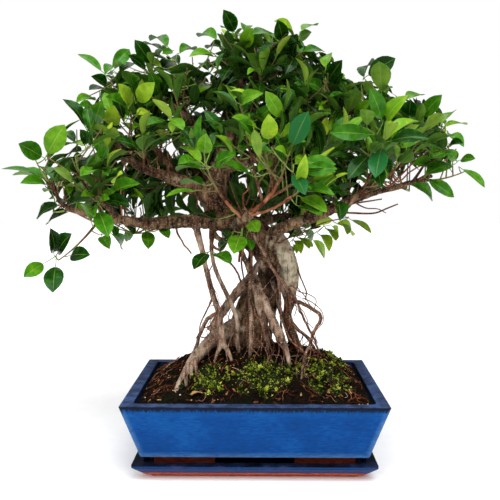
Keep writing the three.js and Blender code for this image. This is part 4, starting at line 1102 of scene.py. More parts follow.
def cavity_half_size(z, gap):
    """Half the length and half the width of the pot's inner space at a height."""
    share = (POT["floor_top"] - POT["underside"]) / (POT["rim"] - POT["underside"])
    at_floor = POT["taper"] * (1 - share) + POT["wall_at_floor"]
    slope = (at_floor - POT["rim_width"]) / (POT["rim"] - POT["floor_top"])
    inset = at_floor - slope * (z - POT["floor_top"]) + gap
    return POT["length"] / 2 - inset, POT["width"] / 2 - inset


RELIEF_HEIGHT = 1.5
SCREEN_THICKNESS = 2.4


def soil_surface(step):
    """The soil ball: a fine relief above, walls that follow the pot, and a flat bottom over the screens."""
    half_x, half_y = cavity_half_size(SOIL["edge"], SOIL_GAP)
    columns = round(2 * half_x / step)
    rows = round(2 * half_y / step)
    u, v = np.meshgrid(np.linspace(-1, 1, columns + 1), np.linspace(-1, 1, rows + 1))
    x, y = rounded(u * half_x, v * half_y, half_x, half_y, POT["cavity_corner"])
    z = soil_height(x, y)
    border = np.minimum(half_x - np.abs(x), half_y - np.abs(y))
    crumble = np.clip(border / 6.0, 0.15, 1.0)
    relief = []
    for a, b in zip(x.ravel(), y.ravel()):
        lumps = noise.fractal(Vector((a / 7.0, b / 7.0, 0.3)), 0.9, 2.1, 4)
        relief.append(lumps + 0.6 * noise.noise(Vector((a / 2.2, b / 2.2, 5))))
    z = z + crumble * RELIEF_HEIGHT * np.array(relief).reshape(x.shape)
    corners = np.stack([x, y, z], axis=-1).reshape(-1, 3)
    index = np.arange(corners.shape[0]).reshape(rows + 1, columns + 1)
    quads = np.stack(
        [index[:-1, :-1], index[:-1, 1:], index[1:, 1:], index[1:, :-1]], axis=-1,
    ).reshape(-1, 4)
    rim = np.concatenate([index[0, :-1], index[:-1, -1], index[-1, :0:-1], index[:0:-1, 0]])
    rings = [rim]
    faces = [tuple(q) for q in quads]
    points = [corners]
    count = len(corners)
    bottom = POT["floor_top"] + SCREEN_THICKNESS
    for level in (80.0, 60.0, bottom):
        hx, hy = cavity_half_size(level, SOIL_GAP)
        ring = corners[rim].copy()
        ring[:, 0] *= hx / half_x
        ring[:, 1] *= hy / half_y
        ring[:, 2] = level
        points.append(ring)
        below = np.arange(count, count + len(rim))
        above = rings[-1]
        for i in range(len(rim)):
            k = (i + 1) % len(rim)
            faces.append((above[i], below[i], below[k], above[k]))
        rings.append(below)
        count += len(rim)
    points.append(np.array([[0.0, 0.0, bottom]]))
    last = rings[-1]
    faces.extend((last[(i + 1) % len(rim)], last[i], count) for i in range(len(rim)))
    return np.vstack(points) * MM, faces, len(corners)


def rounded(x, y, half_x, half_y, radius):
    """Draws the points of a rectangle's corners in to a radius."""
    out_x = np.maximum(np.abs(x) - (half_x - radius), 0)
    out_y = np.maximum(np.abs(y) - (half_y - radius), 0)
    far = np.hypot(out_x, out_y)
    pull = np.where(far > radius, radius / np.maximum(far, 1e-9), 1.0)
    new_x = np.sign(x) * (np.minimum(np.abs(x), half_x - radius) + out_x * pull)
    new_y = np.sign(y) * (np.minimum(np.abs(y), half_y - radius) + out_y * pull)
    return new_x, new_y


# A cushion's grid: how far past its half-size it reaches, how deep its border sinks in mm, and its points.
MOSS_REACH = 1.3
MOSS_SUNK = 2.2
MOSS_RINGS = 16
MOSS_SIDES = 56


def moss_cover(x, y):
    """How closely moss covers the soil at places in plan, from 0 to 1. Its patches have ragged borders."""
    x, y = np.asarray(x, float), np.asarray(y, float)
    spots = list(zip(x.ravel(), y.ravel()))
    coarse = np.array([noise.noise(Vector((a / 13, b / 13, 2))) for a, b in spots])
    fine = np.array([noise.noise(Vector((a / 5, b / 5, 7))) for a, b in spots])
    grain = (coarse + 0.7 * fine).reshape(x.shape)
    cover = np.zeros(x.shape)
    for cx, cy, half_x, half_y in MOSS.values():
        share = np.hypot((x - cx) / half_x, (y - cy) / half_y)
        patch = np.clip(1.3 * (1.02 - share) + 2.4 * grain + 0.3, 0, 1)
        cover = np.maximum(cover, np.where(share < MOSS_REACH, patch, 0))
    return cover


def moss_dome(place):
    """A low closed cushion with a lumpy top, that dips into the soil between its patches. Its tufts grow
    from the faces marked for it."""
    cx, cy, half_x, half_y = MOSS[place]
    rings, sides = MOSS_RINGS, MOSS_SIDES
    angle = np.linspace(0, math.tau, sides, endpoint=False)
    corners, faces = [], []
    for i in range(1, rings + 1):
        share = MOSS_REACH * i / rings
        x = cx + half_x * share * np.cos(angle)
        y = cy + half_y * share * np.sin(angle)
        cover = moss_cover(x, y)
        dome = MOSS_THICKNESS * (0.35 + 0.65 * math.sqrt(max(0.0, 1 - share**2)))
        lump = np.array([noise.noise(Vector((a / 6.0, b / 6.0, 9))) for a, b in zip(x, y)])
        z = soil_height(x, y) + cover * dome * (1 + 0.5 * lump) - MOSS_SUNK * (1 - cover)
        corners.extend(np.stack([x, y, z], axis=1))
    top = len(corners)
    corners.append((cx, cy, ground(cx, cy) + MOSS_THICKNESS))
    marks = moss_cover([c[0] for c in corners], [c[1] for c in corners])
    low = len(corners)
    x = cx + half_x * MOSS_REACH * 0.98 * np.cos(angle)
    y = cy + half_y * MOSS_REACH * 0.98 * np.sin(angle)
    corners.extend(np.stack([x, y, soil_height(x, y) - 2 * MOSS_SUNK], axis=1))
    bottom = len(corners)
    corners.append((cx, cy, ground(cx, cy) - 2 * MOSS_SUNK))
    for k in range(sides):
        n = (k + 1) % sides
        faces.append((top, k, n))
        for i in range(rings - 1):
            faces.append((i * sides + k, (i + 1) * sides + k, (i + 1) * sides + n, i * sides + n))
        last = (rings - 1) * sides
        faces.append((last + k, low + k, low + n, last + n))
        faces.append((bottom, low + n, low + k))
    mesh = new_mesh("Moss dome", np.array(corners) * MM, faces)
    grown = np.zeros(len(corners))
    grown[: top + 1] = np.where(marks > 0.35, marks, 0.0)
    set_attribute(mesh, "scatter", grown)
    return mesh


def fibre_lines(count, seed):
    """Dead rootlets and coir fibres that lie on the soil, each a crooked line a few centimetres long."""
    source = random.Random(seed)
    half_x, half_y = cavity_half_size(SOIL["edge"], SOIL_GAP)
    lines = []
    for _ in range(count):
        x, y = source.uniform(10 - half_x, half_x - 10), source.uniform(10 - half_y, half_y - 10)
        heading = source.uniform(0, math.tau)
        radius = source.uniform(0.22, 0.45)
        line = []
        for _ in range(source.randint(5, 12)):
            heading += source.gauss(0, 0.5)
            x = min(max(x + 3.2 * math.cos(heading), 6 - half_x), half_x - 6)
            y = min(max(y + 3.2 * math.sin(heading), 6 - half_y), half_y - 6)
            line.append([x, y, ground(x, y) + source.uniform(0.4, 3.0), radius])
        lines.append((smooth_line(line, 2.2), {"tint": source.random()}))
    return lines


LEAF_LIFT = 2.6


def fallen_leaves(material):
    """The dead leaves on the soil."""
    pieces = []
    for i, (x, y, turn, length, width, pale) in enumerate(FALLEN_LEAVES):
        mesh = leaf_shape(f"Fallen leaf {i + 1}", 0.05, 0.06, 0.05, 0.03)
        place = Matrix.Translation(Vector((x, y, ground(x, y) + LEAF_LIFT)) * MM)
        size = Matrix.Diagonal(Vector((width, length, length)) * MM).to_4x4()
        mesh.transform(place @ Matrix.Rotation(turn, 4, "Z") @ size)
        mesh.materials.append(material)
        set_attribute(mesh, "tint", [pale] * len(mesh.vertices))
        pieces.append(new_object(mesh.name, mesh))
    return joined("fallen_leaves", pieces)


def moss_tuft(name, seed, leaflets, half_width):
    """A tuft of small pointed leaflets, each closed, one unit tall. Its tip attribute rises to the ends."""
    source = random.Random(seed)
    corners, faces, tips = [], [], []
    for i in range(leaflets):
        angle = i * GOLDEN_ANGLE + source.uniform(-0.3, 0.3)
        lean = source.uniform(0.25, 1.05)
        out = np.array([math.cos(angle) * math.sin(lean), math.sin(angle) * math.sin(lean), math.cos(lean)])
        side = unit(np.cross(out, UP + 0.01))
        up = unit(np.cross(side, out))
        length = source.uniform(0.7, 1.1)
        first = len(corners)
        belly = out * length * 0.5 - up * 0.04
        wing = side * half_width
        corners += [out * 0.02, belly + wing, belly + up * 0.06, belly - wing, out * length + up * 0.1]
        tips += [0.0, 0.6, 0.6, 0.6, 1.0]
        ring = [first + 1, first + 2, first + 3]
        for k in range(3):
            n = (k + 1) % 3
            faces.append((first, ring[n], ring[k]))
            faces.append((first + 4, ring[k], ring[n]))
    mesh = new_mesh(name, corners, faces)
    face_outward(mesh)
    set_attribute(mesh, "tip", tips)
    return mesh


# ---------------------------------------------------------------- wood

# Limbs as thick as this join the trunk's skin; thinner ones stay tubes of their own.
THICK_LIMB = 4.0
# How pale a limb's crust is, and the height over which the right column is fully pale.
PALE_LIMBS = {"right_column": 1.0, "surface_left": 0.35, "surface_side": 0.35}
PALE_FROM = 228.0
PALE_FADE = 25.0
# Ridges of the trunk: spacing of their points in mm, turn per mm, thickness and place in shares of the
# limb's radius, and their least radius in mm.
STRAND = {"spacing": 4.0, "twist": 0.011, "thickness": 0.24, "reach": 0.86, "thinnest": 1.6}


def wood_marks(name="", root=0.0, young=0.0, **thick):
    """What kind of wood a line is: a root, young, pale, and for a thin line how thick, in metres."""
    return {"root": root, "young": young, "pale": PALE_LIMBS.get(name, 0.0), **thick}


def limb_lines(spacing):
    """Every limb as an even line, with what kind of wood it is."""
    lines = {}
    for name, points in {**TRUNK, **BOUGHS, **BURR, **ROOTS}.items():
        marks = wood_marks(name, float(name in ROOTS), float(name in BURR and name != "burr"))
        lines[name] = (smooth_line(points, spacing), marks)
    return lines


def carrier_lines():
    """The boughs and the burr as even lines. Shoots start from them."""
    return [smooth_line(points, TWIG["place_spacing"]) for points in {**BOUGHS, **BURR}.values()]


def shoot_line(tip, carriers):
    """The line from a bough to a shoot's tip: it leaves the bough a little before the nearest place."""
    tip = np.array(tip, float)
    gap, rows, place = math.inf, None, 0
    for line in carriers:
        gaps = np.linalg.norm(line[:, :3] - tip, axis=1)
        if gaps.min() < gap:
            gap, rows, place = gaps.min(), line, int(gaps.argmin())
    back = TWIG["set_back"] * gap / step_lengths(rows).sum() * (len(rows) - 1)
    start = columns_at(rows, max(0.0, place - back), np.arange(len(rows)))[:3]
    sag = TWIG["sag"] * float(np.linalg.norm(tip - start))
    return even_steps(bowed(start, tip, sag, 2.0, 1.0, 33), 2.0)


def shoot_lines():
    """For each shoot its whole line, and the share of it at which the green stem follows the woody twig."""
    carriers = carrier_lines()
    lines = {}
    for side, tips in SHOOT_TIPS.items():
        for i, tip in enumerate(tips):
            rows = shoot_line(tip, carriers)
            stem_share = STEM["length"] / step_lengths(rows).sum()
            lines[f"{side}_{i + 1}"] = (rows, max(0.35, 1 - stem_share))
    return lines


STRANDS = {"trunk": 9, "trunk_foot": 6, "right_column": 4, "surface_left": 4}


def trunk_strands():
    """Old roots that have grown together with the trunk: ridges that wind down its surface."""
    strands = []
    for name, count in STRANDS.items():
        rows = smooth_line({**TRUNK, **ROOTS}[name], STRAND["spacing"])
        for k in range(count):
            phase = k * math.tau / count + 0.5 * math.sin(k * 2.3)
            twist = STRAND["twist"] * (1 if k % 3 else -1.4)
            size = STRAND["thickness"] + 0.1 * math.sin(k * 4.1 + len(name))
            line = []
            for i, (x, y, z, radius) in enumerate(rows):
                ahead = unit(rows[min(i + 1, len(rows) - 1), :3] - rows[max(i - 1, 0), :3])
                side = unit(np.cross(ahead, np.array([0.3, 1.0, 0.2])))
                up = np.cross(side, ahead)
                angle = phase + twist * i * STRAND["spacing"] + 0.35 * math.sin(i * 0.33 + k)
                reach = radius * (STRAND["reach"] + 0.05 * math.sin(i * 0.5 + 2 * k))
                place = np.array([x, y, z]) + (side * math.cos(angle) + up * math.sin(angle)) * reach
                line.append([*place, max(STRAND["thinnest"], radius * size)])
            strands.append((np.array(line), wood_marks(name, float(name in ROOTS))))
    return strands


CROOK_SEED = 1


def wander(rows, step, seed):
    """Adds small crooks to a line, none at its start."""
    noise.seed_set(CROOK_SEED)
    shifted = rows.copy()
    for i in range(1, len(rows)):
        ease = min(1.0, i / 4)
        at = Vector((i * 0.31 + seed * 7.7, seed * 3.1, 0.0))
        shifted[i, :3] += step * ease * np.array(noise.noise_vector(at))
    return shifted


def thick_wood(material):
    """Trunk, boughs and stout roots, grown together into one skin with ridges and bark relief."""
    sizes = bpy.context.scene.bonsai_wood
    limbs = limb_lines(3.0)
    stout = [(rows, marks) for rows, marks in limbs.values() if rows[:, 3].max() >= THICK_LIMB]
    sources = stout + trunk_strands()
    mesh = lines_mesh("Limbs", [(rows, {}) for rows, _ in sources])
    tubes = grow("Limbs", mesh, sweep_tree(), {"Sides": 14})
    remesh = tubes.modifiers.new("Skin", "REMESH")
    remesh.mode = "VOXEL"
    remesh.voxel_size = sizes.skin_grain
    apply_modifiers(tubes)
    relax = tubes.modifiers.new("Relax", "SMOOTH")
    relax.factor = 0.5
    relax.iterations = 2
    apply_modifiers(tubes)
    keep_largest(tubes)
    carry_marks(tubes.data, sources)
    sink_hollow(tubes.data)
    values = {"Ridges": sizes.ridges, "Bark": sizes.bark, "Material": material}
    piece = grow("trunk_and_boughs", tubes.data.copy(), relief_tree(), values)
    bpy.data.objects.remove(tubes)
    smooth_faces(piece)
    return piece


def corner_places(mesh):
    """The mesh's points in metres, as rows."""
    places = np.zeros(len(mesh.vertices) * 3)
    mesh.vertices.foreach_get("co", places)
    return places.reshape(-1, 3)


def sink_hollow(mesh):
    """Pushes the trunk's front in where it has a hollow, and marks how deep each point lies in it."""
    places = corner_places(mesh) / MM
    away = np.linalg.norm((places - HOLLOW["middle"]) / HOLLOW["half"], axis=1)
    deep = np.clip(1.35 * (1 - away), 0, 1)
    places[:, 1] += HOLLOW["depth"] * deep
    mesh.vertices.foreach_set("co", (places * MM).ravel())
    set_attribute(mesh, "hollow", deep)


def keep_largest(piece):
    """Removes loose bits that the skin left apart from the tree."""
    whole = bmesh.new()
    whole.from_mesh(piece.data)
    whole.verts.ensure_lookup_table()
    seen_verts = set()
    islands = []
    for vertex in whole.verts:
        if vertex.index in seen_verts:
            continue
        stack, island = [vertex], []
        seen_verts.add(vertex.index)
        while stack:
            current = stack.pop()
            island.append(current)
            for edge in current.link_edges:
                other = edge.other_vert(current)
                if other.index not in seen_verts:
                    seen_verts.add(other.index)
                    stack.append(other)
        islands.append(island)
    islands.sort(key=len)
    for island in islands[:-1]:
        bmesh.ops.delete(whole, geom=island, context="VERTS")
    whole.to_mesh(piece.data)
    whole.free()


def carry_marks(mesh, sources):
    """Gives each point of the skin the marks of the limb line that is nearest for its thickness."""
    rows = np.vstack([r for r, _ in sources])
    kinds = {key: np.concatenate([[m[key]] * len(r) for r, m in sources]) for key in wood_marks()}
    tree = kdtree.KDTree(len(rows))
    for i, row in enumerate(rows):
        tree.insert(row[:3] * MM, i)
    tree.balance()
    places = corner_places(mesh)
    best = np.zeros(len(places), int)
    for v, place in enumerate(places):
        found = tree.find_n(place, 4)
        best[v] = min(found, key=lambda hit: hit[2] - rows[hit[1], 3] * MM)[1]
    set_attribute(mesh, "thick", rows[best, 3] * MM)
    set_attribute(mesh, "root", kinds["root"][best])
    set_attribute(mesh, "young", kinds["young"][best])
    # The pale crust ends where the column grows thin.
    pale = kinds["pale"][best]
    fade = np.clip((places[:, 2] / MM - PALE_FROM) / PALE_FADE, 0, 1)
    set_attribute(mesh, "pale", np.where(pale < 1.0, pale, fade))


def relief_tree():
    """Moves the skin along its normals: upright ridges on thick wood, and bark grain everywhere."""
    inputs = [("Ridges", "Float", 0.002), ("Bark", "Float", 0.0005), ("Material", "Material", None)]
    tree, given, made = new_tree("Bark relief", inputs)
    place = add(tree, "GeometryNodeInputPosition")
    thick = add(tree, "GeometryNodeInputNamedAttribute", {"Name": "thick"})
    upright = add(tree, "VectorMath", [place, (1.0, 1.0, 0.2)], operation="MULTIPLY")
    ridge = add(tree, "TexNoise", {"Vector": upright, "Scale": 120.0, "Detail": 2.0, "Distortion": 0.6})
    grain = add(tree, "TexNoise", {"Vector": upright, "Scale": 330.0, "Detail": 3.0, "Roughness": 0.6})
    stout = add(tree, "MapRange", [thick, 0.003, 0.013, 0.12, 1.0])
    ridge_middle = add(tree, "Math", [ridge, 0.52], operation="SUBTRACT")
    grain_middle = add(tree, "Math", [grain, 0.52], operation="SUBTRACT")
    ridge_size = add(tree, "Math", [ridge_middle, given["Ridges"]], operation="MULTIPLY")
    ridge_part = add(tree, "Math", [ridge_size, stout], operation="MULTIPLY")
    grain_size = add(tree, "Math", [grain_middle, given["Bark"]], operation="MULTIPLY")
    total = add(tree, "Math", [ridge_part, grain_size], operation="ADD")
    normal = add(tree, "GeometryNodeInputNormal")
    shift = add(tree, "VectorMath", {0: normal, 3: total}, operation="SCALE")
    moved = add(tree, "GeometryNodeSetPosition", {"Geometry": given["Mesh"], "Offset": shift})
    return finish_tree(tree, moved, given, made)


LONGEST_BRIDGE = 30.0


def led_to_wood(places, wood):
    """The points of a thin line, led on from the nearer of its ends to the wood if they only just miss it."""
    spots = np.array(places)
    gaps = np.linalg.norm(spots[:, None, :3] - wood[None, :, :3], axis=2) - wood[None, :, 3]
    end = 0 if gaps[0].min() <= gaps[-1].min() else -1
    if gaps.min() < spots[0, 3] or gaps[end].min() > LONGEST_BRIDGE:
        return places
    added = (*wood[gaps[end].argmin(), :3], spots[0, 3])
    return [added, *places] if end == 0 else [*places, added]


def thin_wood(material):
    """Twigs that carry the shoots, thin aerial roots and the fine twigs and rootlets, as tapering tubes."""
    lines = []
    for name, (rows, marks) in limb_lines(2.5).items():
        if rows[:, 3].max() < THICK_LIMB:
            lines.append((wander(rows, 1.4, len(name)), {**marks, "thick": float(rows[:, 3].mean()) * MM}))
    for rows, stem_from in shoot_lines().values():
        twig = with_radius(part_of(rows, 0.0, stem_from, 14), TWIG["base_radius"], TWIG["tip_radius"])
        lines.append((twig, wood_marks(thick=0.002)))
    wood = np.vstack([rows for rows, _ in [*limb_lines(2.5).values(), *lines]])
    for i, (name, (depth, radius, pixels)) in enumerate(THIN_LINES_SEEN.items()):
        depths = [depth + 3 * math.sin(1.7 * k + i) for k in range(len(pixels))]
        places = [(*seen(*spot, y), radius) for spot, y in zip(pixels, depths)]
        line = smooth_line(led_to_wood(places, wood), 2.5)
        line[:, 3] *= np.linspace(1.15, 0.6, len(line))
        marks = wood_marks(root=float("root" in name), young=0.8 * float("red" in name), thick=radius * MM)
        lines.append((line, marks))
    lines.extend(random_rootlets())
    lines.extend(random_twiglets())
    mesh = lines_mesh("Fine wood", lines)
    piece = grow("twigs_and_fine_roots", mesh, sweep_tree(), {"Sides": 7, "Material": material})
    smooth_faces(piece)
    return piece


ROOTLETS = 46
ROOTLET_REACH = (-92.0, 82.0)
ROOTLET_STEP = 5.0
# Wood that carries hair roots. What is named twice carries twice as many.
ROOTLET_CARRIERS = [
    "aerial_1", "aerial_2", "aerial_3", "aerial_4", "aerial_5", "aerial_6", "aerial_10", "aerial_12",
    "right_column", "aerial_9", "trunk_foot", "aerial_5", "right_column", "aerial_10",
]


def swerved(heading, source, sideways, rise, upright):
    """The heading, turned a little at random: by so much sideways, and about a steady rise."""
    drift = [source.gauss(0, sideways), source.gauss(0, sideways), source.gauss(rise, upright)]
    return unit(heading + np.array(drift))


def random_rootlets():
    """Hair roots that leave the aerial roots and the trunk's foot, and wander down to the soil."""
    source = random.Random(5)
    lines = []
    for _ in range(ROOTLETS):
        rows = smooth_line({**TRUNK, **ROOTS}[source.choice(ROOTLET_CARRIERS)], 5.0)
        start = rows[int(mix(0.35, 0.92, source.random()) * (len(rows) - 1))]
        place = np.array(start[:3])
        ranges = ((-0.35, 0.6), (-1.0, 0.2), (-1.0, 0.1))
        heading = unit(np.array([source.uniform(low, high) for low, high in ranges]))
        radius = source.uniform(0.4, 0.85)
        line = [[*place, radius]]
        for _ in range(source.randint(8, 22)):
            heading = swerved(heading, source, 0.3, -0.26, 0.22)
            place = place + heading * ROOTLET_STEP
            if not ROOTLET_REACH[0] < place[0] < ROOTLET_REACH[1]:
                break
            line.append([*place, radius * (1 - 0.5 * len(line) / 24)])
            if place[2] < ground(place[0], place[1]) - 2:
                break
        if len(line) > 2:
            lines.append((smooth_line(line, 2.5), wood_marks(root=1.0, thick=0.0014)))
    return lines


def in_sky_gap(px, py, margin):
    """True if the pixel lies in a gap of the foliage, or within this margin of it."""
    return any(math.hypot(px - x, py - y) < radius + margin for x, y, radius in SKY_GAPS)


TWIGLET_STEP = 5.0


def random_twiglets():
    """Short bare twigs and spurs along the boughs."""
    source = random.Random(8)
    lines = []
    for points in BOUGHS.values():
        rows = smooth_line(points, 5.0)
        for _ in range(max(3, len(rows) // 3)):
            at = source.randint(2, len(rows) - 2)
            ahead = unit(rows[at + 1, :3] - rows[at - 1, :3])
            turn = np.array([source.gauss(0, 1), source.gauss(0, 1), source.gauss(0.4, 0.8)])
            side = unit(turn - ahead * (turn @ ahead))
            heading = unit(ahead * source.uniform(0.3, 0.9) + side)
            place = rows[at, :3].copy()
            radius = min(rows[at, 3] * 0.4, source.uniform(0.7, 1.3))
            line = [[*place, radius]]
            for _ in range(source.randint(5, 14)):
                heading = swerved(heading, source, 0.16, 0.06, 0.14)
                place = place + heading * TWIGLET_STEP
                if not inside_outline(*pixel(place)) or in_sky_gap(*pixel(place), 0.0):
                    break
                line.append([*place, radius * (1 - 0.55 * len(line) / 13)])
            if len(line) > 2:
                lines.append((smooth_line(line, 3.0), wood_marks(thick=0.0018)))
    return lines


# ---------------------------------------------------------------- leaves and shoots

LEAF_ROWS = [0.17, 0.235, 0.33, 0.46, 0.6, 0.74, 0.86, 0.945]
LEAF_HALF_WIDTHS = [0.1, 0.225, 0.36, 0.465, 0.5, 0.45, 0.31, 0.125]
LEAF_COLUMNS = [-1.0, -0.5, 0.0, 0.5, 1.0]
PETIOLE_END = 0.15
STALK_HALF_WIDTH = 0.026
STALK_HALF_HEIGHT = 0.0115


def leaf_shape(name, fold, arch, droop, wave):
    """A closed blade with its stalk, one unit long along Y, upper side to Z. Its width is one unit of X."""
    corners, faces, across, along, under = [], [], [], [], []

    def height(share, column):
        """Of the blade over its stalk: folded up from the midrib, arched, with its tip drooping."""
        rise = arch * math.sin(math.pi * share) - droop * share**2.4
        folded = fold * abs(column) * math.sin(math.pi * min(share * 1.05, 1.0)) ** 0.6
        return rise + folded + wave * math.sin(9.0 * share + 2.2 * column) * abs(column)

    def place(row, width, column, lift):
        share = (row - PETIOLE_END) / (1 - PETIOLE_END)
        corners.append((column * width, row, height(share, column) + lift))
        across.append(column)
        along.append(share)
        return len(corners) - 1

    start = place(PETIOLE_END, 0.0, 0.0, 0.0)
    end = place(1.0, 0.0, 0.0, 0.0)
    tops, bottoms = [], []
    for row, width in zip(LEAF_ROWS, LEAF_HALF_WIDTHS):
        top = [place(row, width, c, 0.003 if c else -0.002) for c in LEAF_COLUMNS]
        low = [place(row, width, c, -0.004 if c else -0.012) for c in LEAF_COLUMNS[1:-1]]
        tops.append(top)
        bottoms.append([top[0], *low, top[-1]])
    for sheet, flip in ((tops, False), (bottoms, True)):
        made = []
        for i in range(4):
            made.append((start, sheet[0][i + 1], sheet[0][i]))
            made.append((end, sheet[-1][i], sheet[-1][i + 1]))
            for j in range(len(sheet) - 1):
                made.append((sheet[j][i], sheet[j][i + 1], sheet[j + 1][i + 1], sheet[j + 1][i]))
        faces += [tuple(reversed(f)) for f in made] if flip else made
        under += [1.0 if flip else 0.0] * len(made)
    # The stalk: a four-sided tube from the origin into the blade's base.
    first = len(corners)
    stalk = [(0.0, 0.0), (0.08, 0.005), (0.19, height(0.05, 0.0) - 0.004)]
    for y, z in stalk:
        for k in range(4):
            angle = math.tau * (k + 0.5) / 4
            corners.append((STALK_HALF_WIDTH * math.cos(angle), y, z + STALK_HALF_HEIGHT * math.sin(angle)))
    across += [0.0] * (len(corners) - first)
    along += [0.0] * (len(corners) - first)
    stalk_faces = []
    for i in range(len(stalk) - 1):
        for k in range(4):
            n = (k + 1) % 4
            a = first + 4 * i
            stalk_faces.append((a + k, a + 4 + k, a + 4 + n, a + n))
    stalk_faces.append((first, first + 1, first + 2, first + 3))
    stalk_faces.append((first + 11, first + 10, first + 9, first + 8))
    faces += stalk_faces
    under += [1.0] * len(stalk_faces)
    mesh = new_mesh(name, corners, faces)
    set_attribute(mesh, "across", across)
    set_attribute(mesh, "along", along)
    set_attribute(mesh, "under", under, domain="FACE")
    face_outward(mesh, sharp_from=math.radians(50))
    return mesh


# For each kind of blade: how far it folds, arches, droops and waves, in shares of its length.
BLADES = {
    "flat": (0.045, 0.04, 0.06, 0.004), "folded": (0.12, 0.05, 0.07, 0.006),
    "drooping": (0.075, 0.08, 0.18, 0.008), "wavy": (0.06, 0.04, 0.03, 0.022),
}


def leaf_shapes():
    return [leaf_shape(f"Leaf {kind}", *bends) for kind, bends in BLADES.items()]


def shoot_tree():
    """A shoot: tubes along the stem lines, and a leaf at each loose point, picked, turned and sized by the
    point's attributes."""
    inputs = [
        ("Stem sides", "Int", 7), ("Leaf size", "Float", 1.0), ("Leaves", "Collection", None),
        ("Stem material", "Material", None), ("Leaf material", "Material", None),
    ]
    tree, given, made = new_tree("Leafy shoot", inputs)
    tubes = add_tubes(tree, given["Mesh"], given["Stem sides"])
    is_leaf, size, turn, kind = [
        add(tree, "GeometryNodeInputNamedAttribute", {"Name": name}, data_type=data_type)
        for name, data_type in (
            ("leaf", "FLOAT"), ("size", "FLOAT_VECTOR"), ("turn", "FLOAT_VECTOR"), ("kind", "INT"),
        )
    ]
    scaled = add(tree, "VectorMath", {0: size, 3: given["Leaf size"]}, operation="SCALE")
    sockets = {"Collection": given["Leaves"], "Separate Children": True, "Reset Children": True}
    blades = add(tree, "GeometryNodeCollectionInfo", sockets)
    chosen = add(tree, "FunctionNodeCompare", [is_leaf, 0.5], operation="GREATER_THAN")
    sockets = {
        "Points": given["Mesh"], "Selection": chosen, "Instance": blades, "Pick Instance": True,
        "Instance Index": kind, "Rotation": add(tree, "FunctionNodeEulerToRotation", [turn]),
        "Scale": scaled,
    }
    copies = add(tree, "GeometryNodeInstanceOnPoints", sockets)
    both = add(tree, "GeometryNodeJoinGeometry", [tubes])
    fill(tree, both, [copies])
    whole = add(tree, "GeometryNodeRealizeInstances", {"Geometry": both})
    green = add(tree, "GeometryNodeSetMaterial", {"Geometry": whole, "Material": given["Stem material"]})
    sockets = {"Geometry": green, "Selection": chosen, "Material": given["Leaf material"]}
    fill(tree, made, [add(tree, "GeometryNodeSetMaterial", sockets)])
    return tree


def inside_outline(px, py):
    """True if the pixel lies in the outline of the foliage."""
    inside = False
    for (ax, ay), (bx, by) in zip(CANOPY_OUTLINE, CANOPY_OUTLINE[1:] + CANOPY_OUTLINE[:1]):
        if (ay > py) != (by > py) and px < ax + (py - ay) * (bx - ax) / (by - ay):
            inside = not inside
    return inside


class Leaf:
    """A leaf: where its stalk starts, which way it points and its upper side looks, and its size in mm."""

    def __init__(self, base, direction, normal, length, width, tone, kind):
        self.base = np.array(base, float)
        self.direction = unit(np.array(direction, float))
        side = unit(np.cross(self.direction, np.array(normal, float)))
        self.normal = np.cross(side, self.direction)
        self.side = side
        self.length, self.width, self.tone, self.kind = length, width, tone, kind
        self.middle = self.base + self.direction * length * 0.55
        self.tip = self.base + self.direction * length

    def turn(self):
        """Euler angles of the blade: X across, Y along, Z up out of the upper side."""
        axes = Matrix([Vector(self.side), Vector(self.direction), Vector(self.normal)]).transposed()
        return tuple(axes.to_euler("XYZ"))


# From this width in pixels on, a leaf lies flat to the eye, this far in front of its neighbours in mm.
BROAD_LEAF = 13.0
BROAD_LEAF_LEAD = 9.0
# Stems carry a seen leaf sooner the nearer they are to the eye: pixels of distance that a mm makes up for.
NEARNESS = 0.04
# Leaves that start this close together in mm share one stem.
HUB_REACH = 16.0
# The share of seen leaves that point toward the eye, and how foreshortened they can be at most.
TOWARD_EYE = 0.72
MOST_FORESHORTENED = 1.9
# What starts this near to a point of a stem grows from it.
ANCHOR_REACH = 9.0


def wood_places(lines):
    """Points of the limbs and of the shoots' lines, from which stems can start."""
    return np.vstack([rows[:, :3] for rows, _ in [*limb_lines(6.0).values(), *lines.values()]])


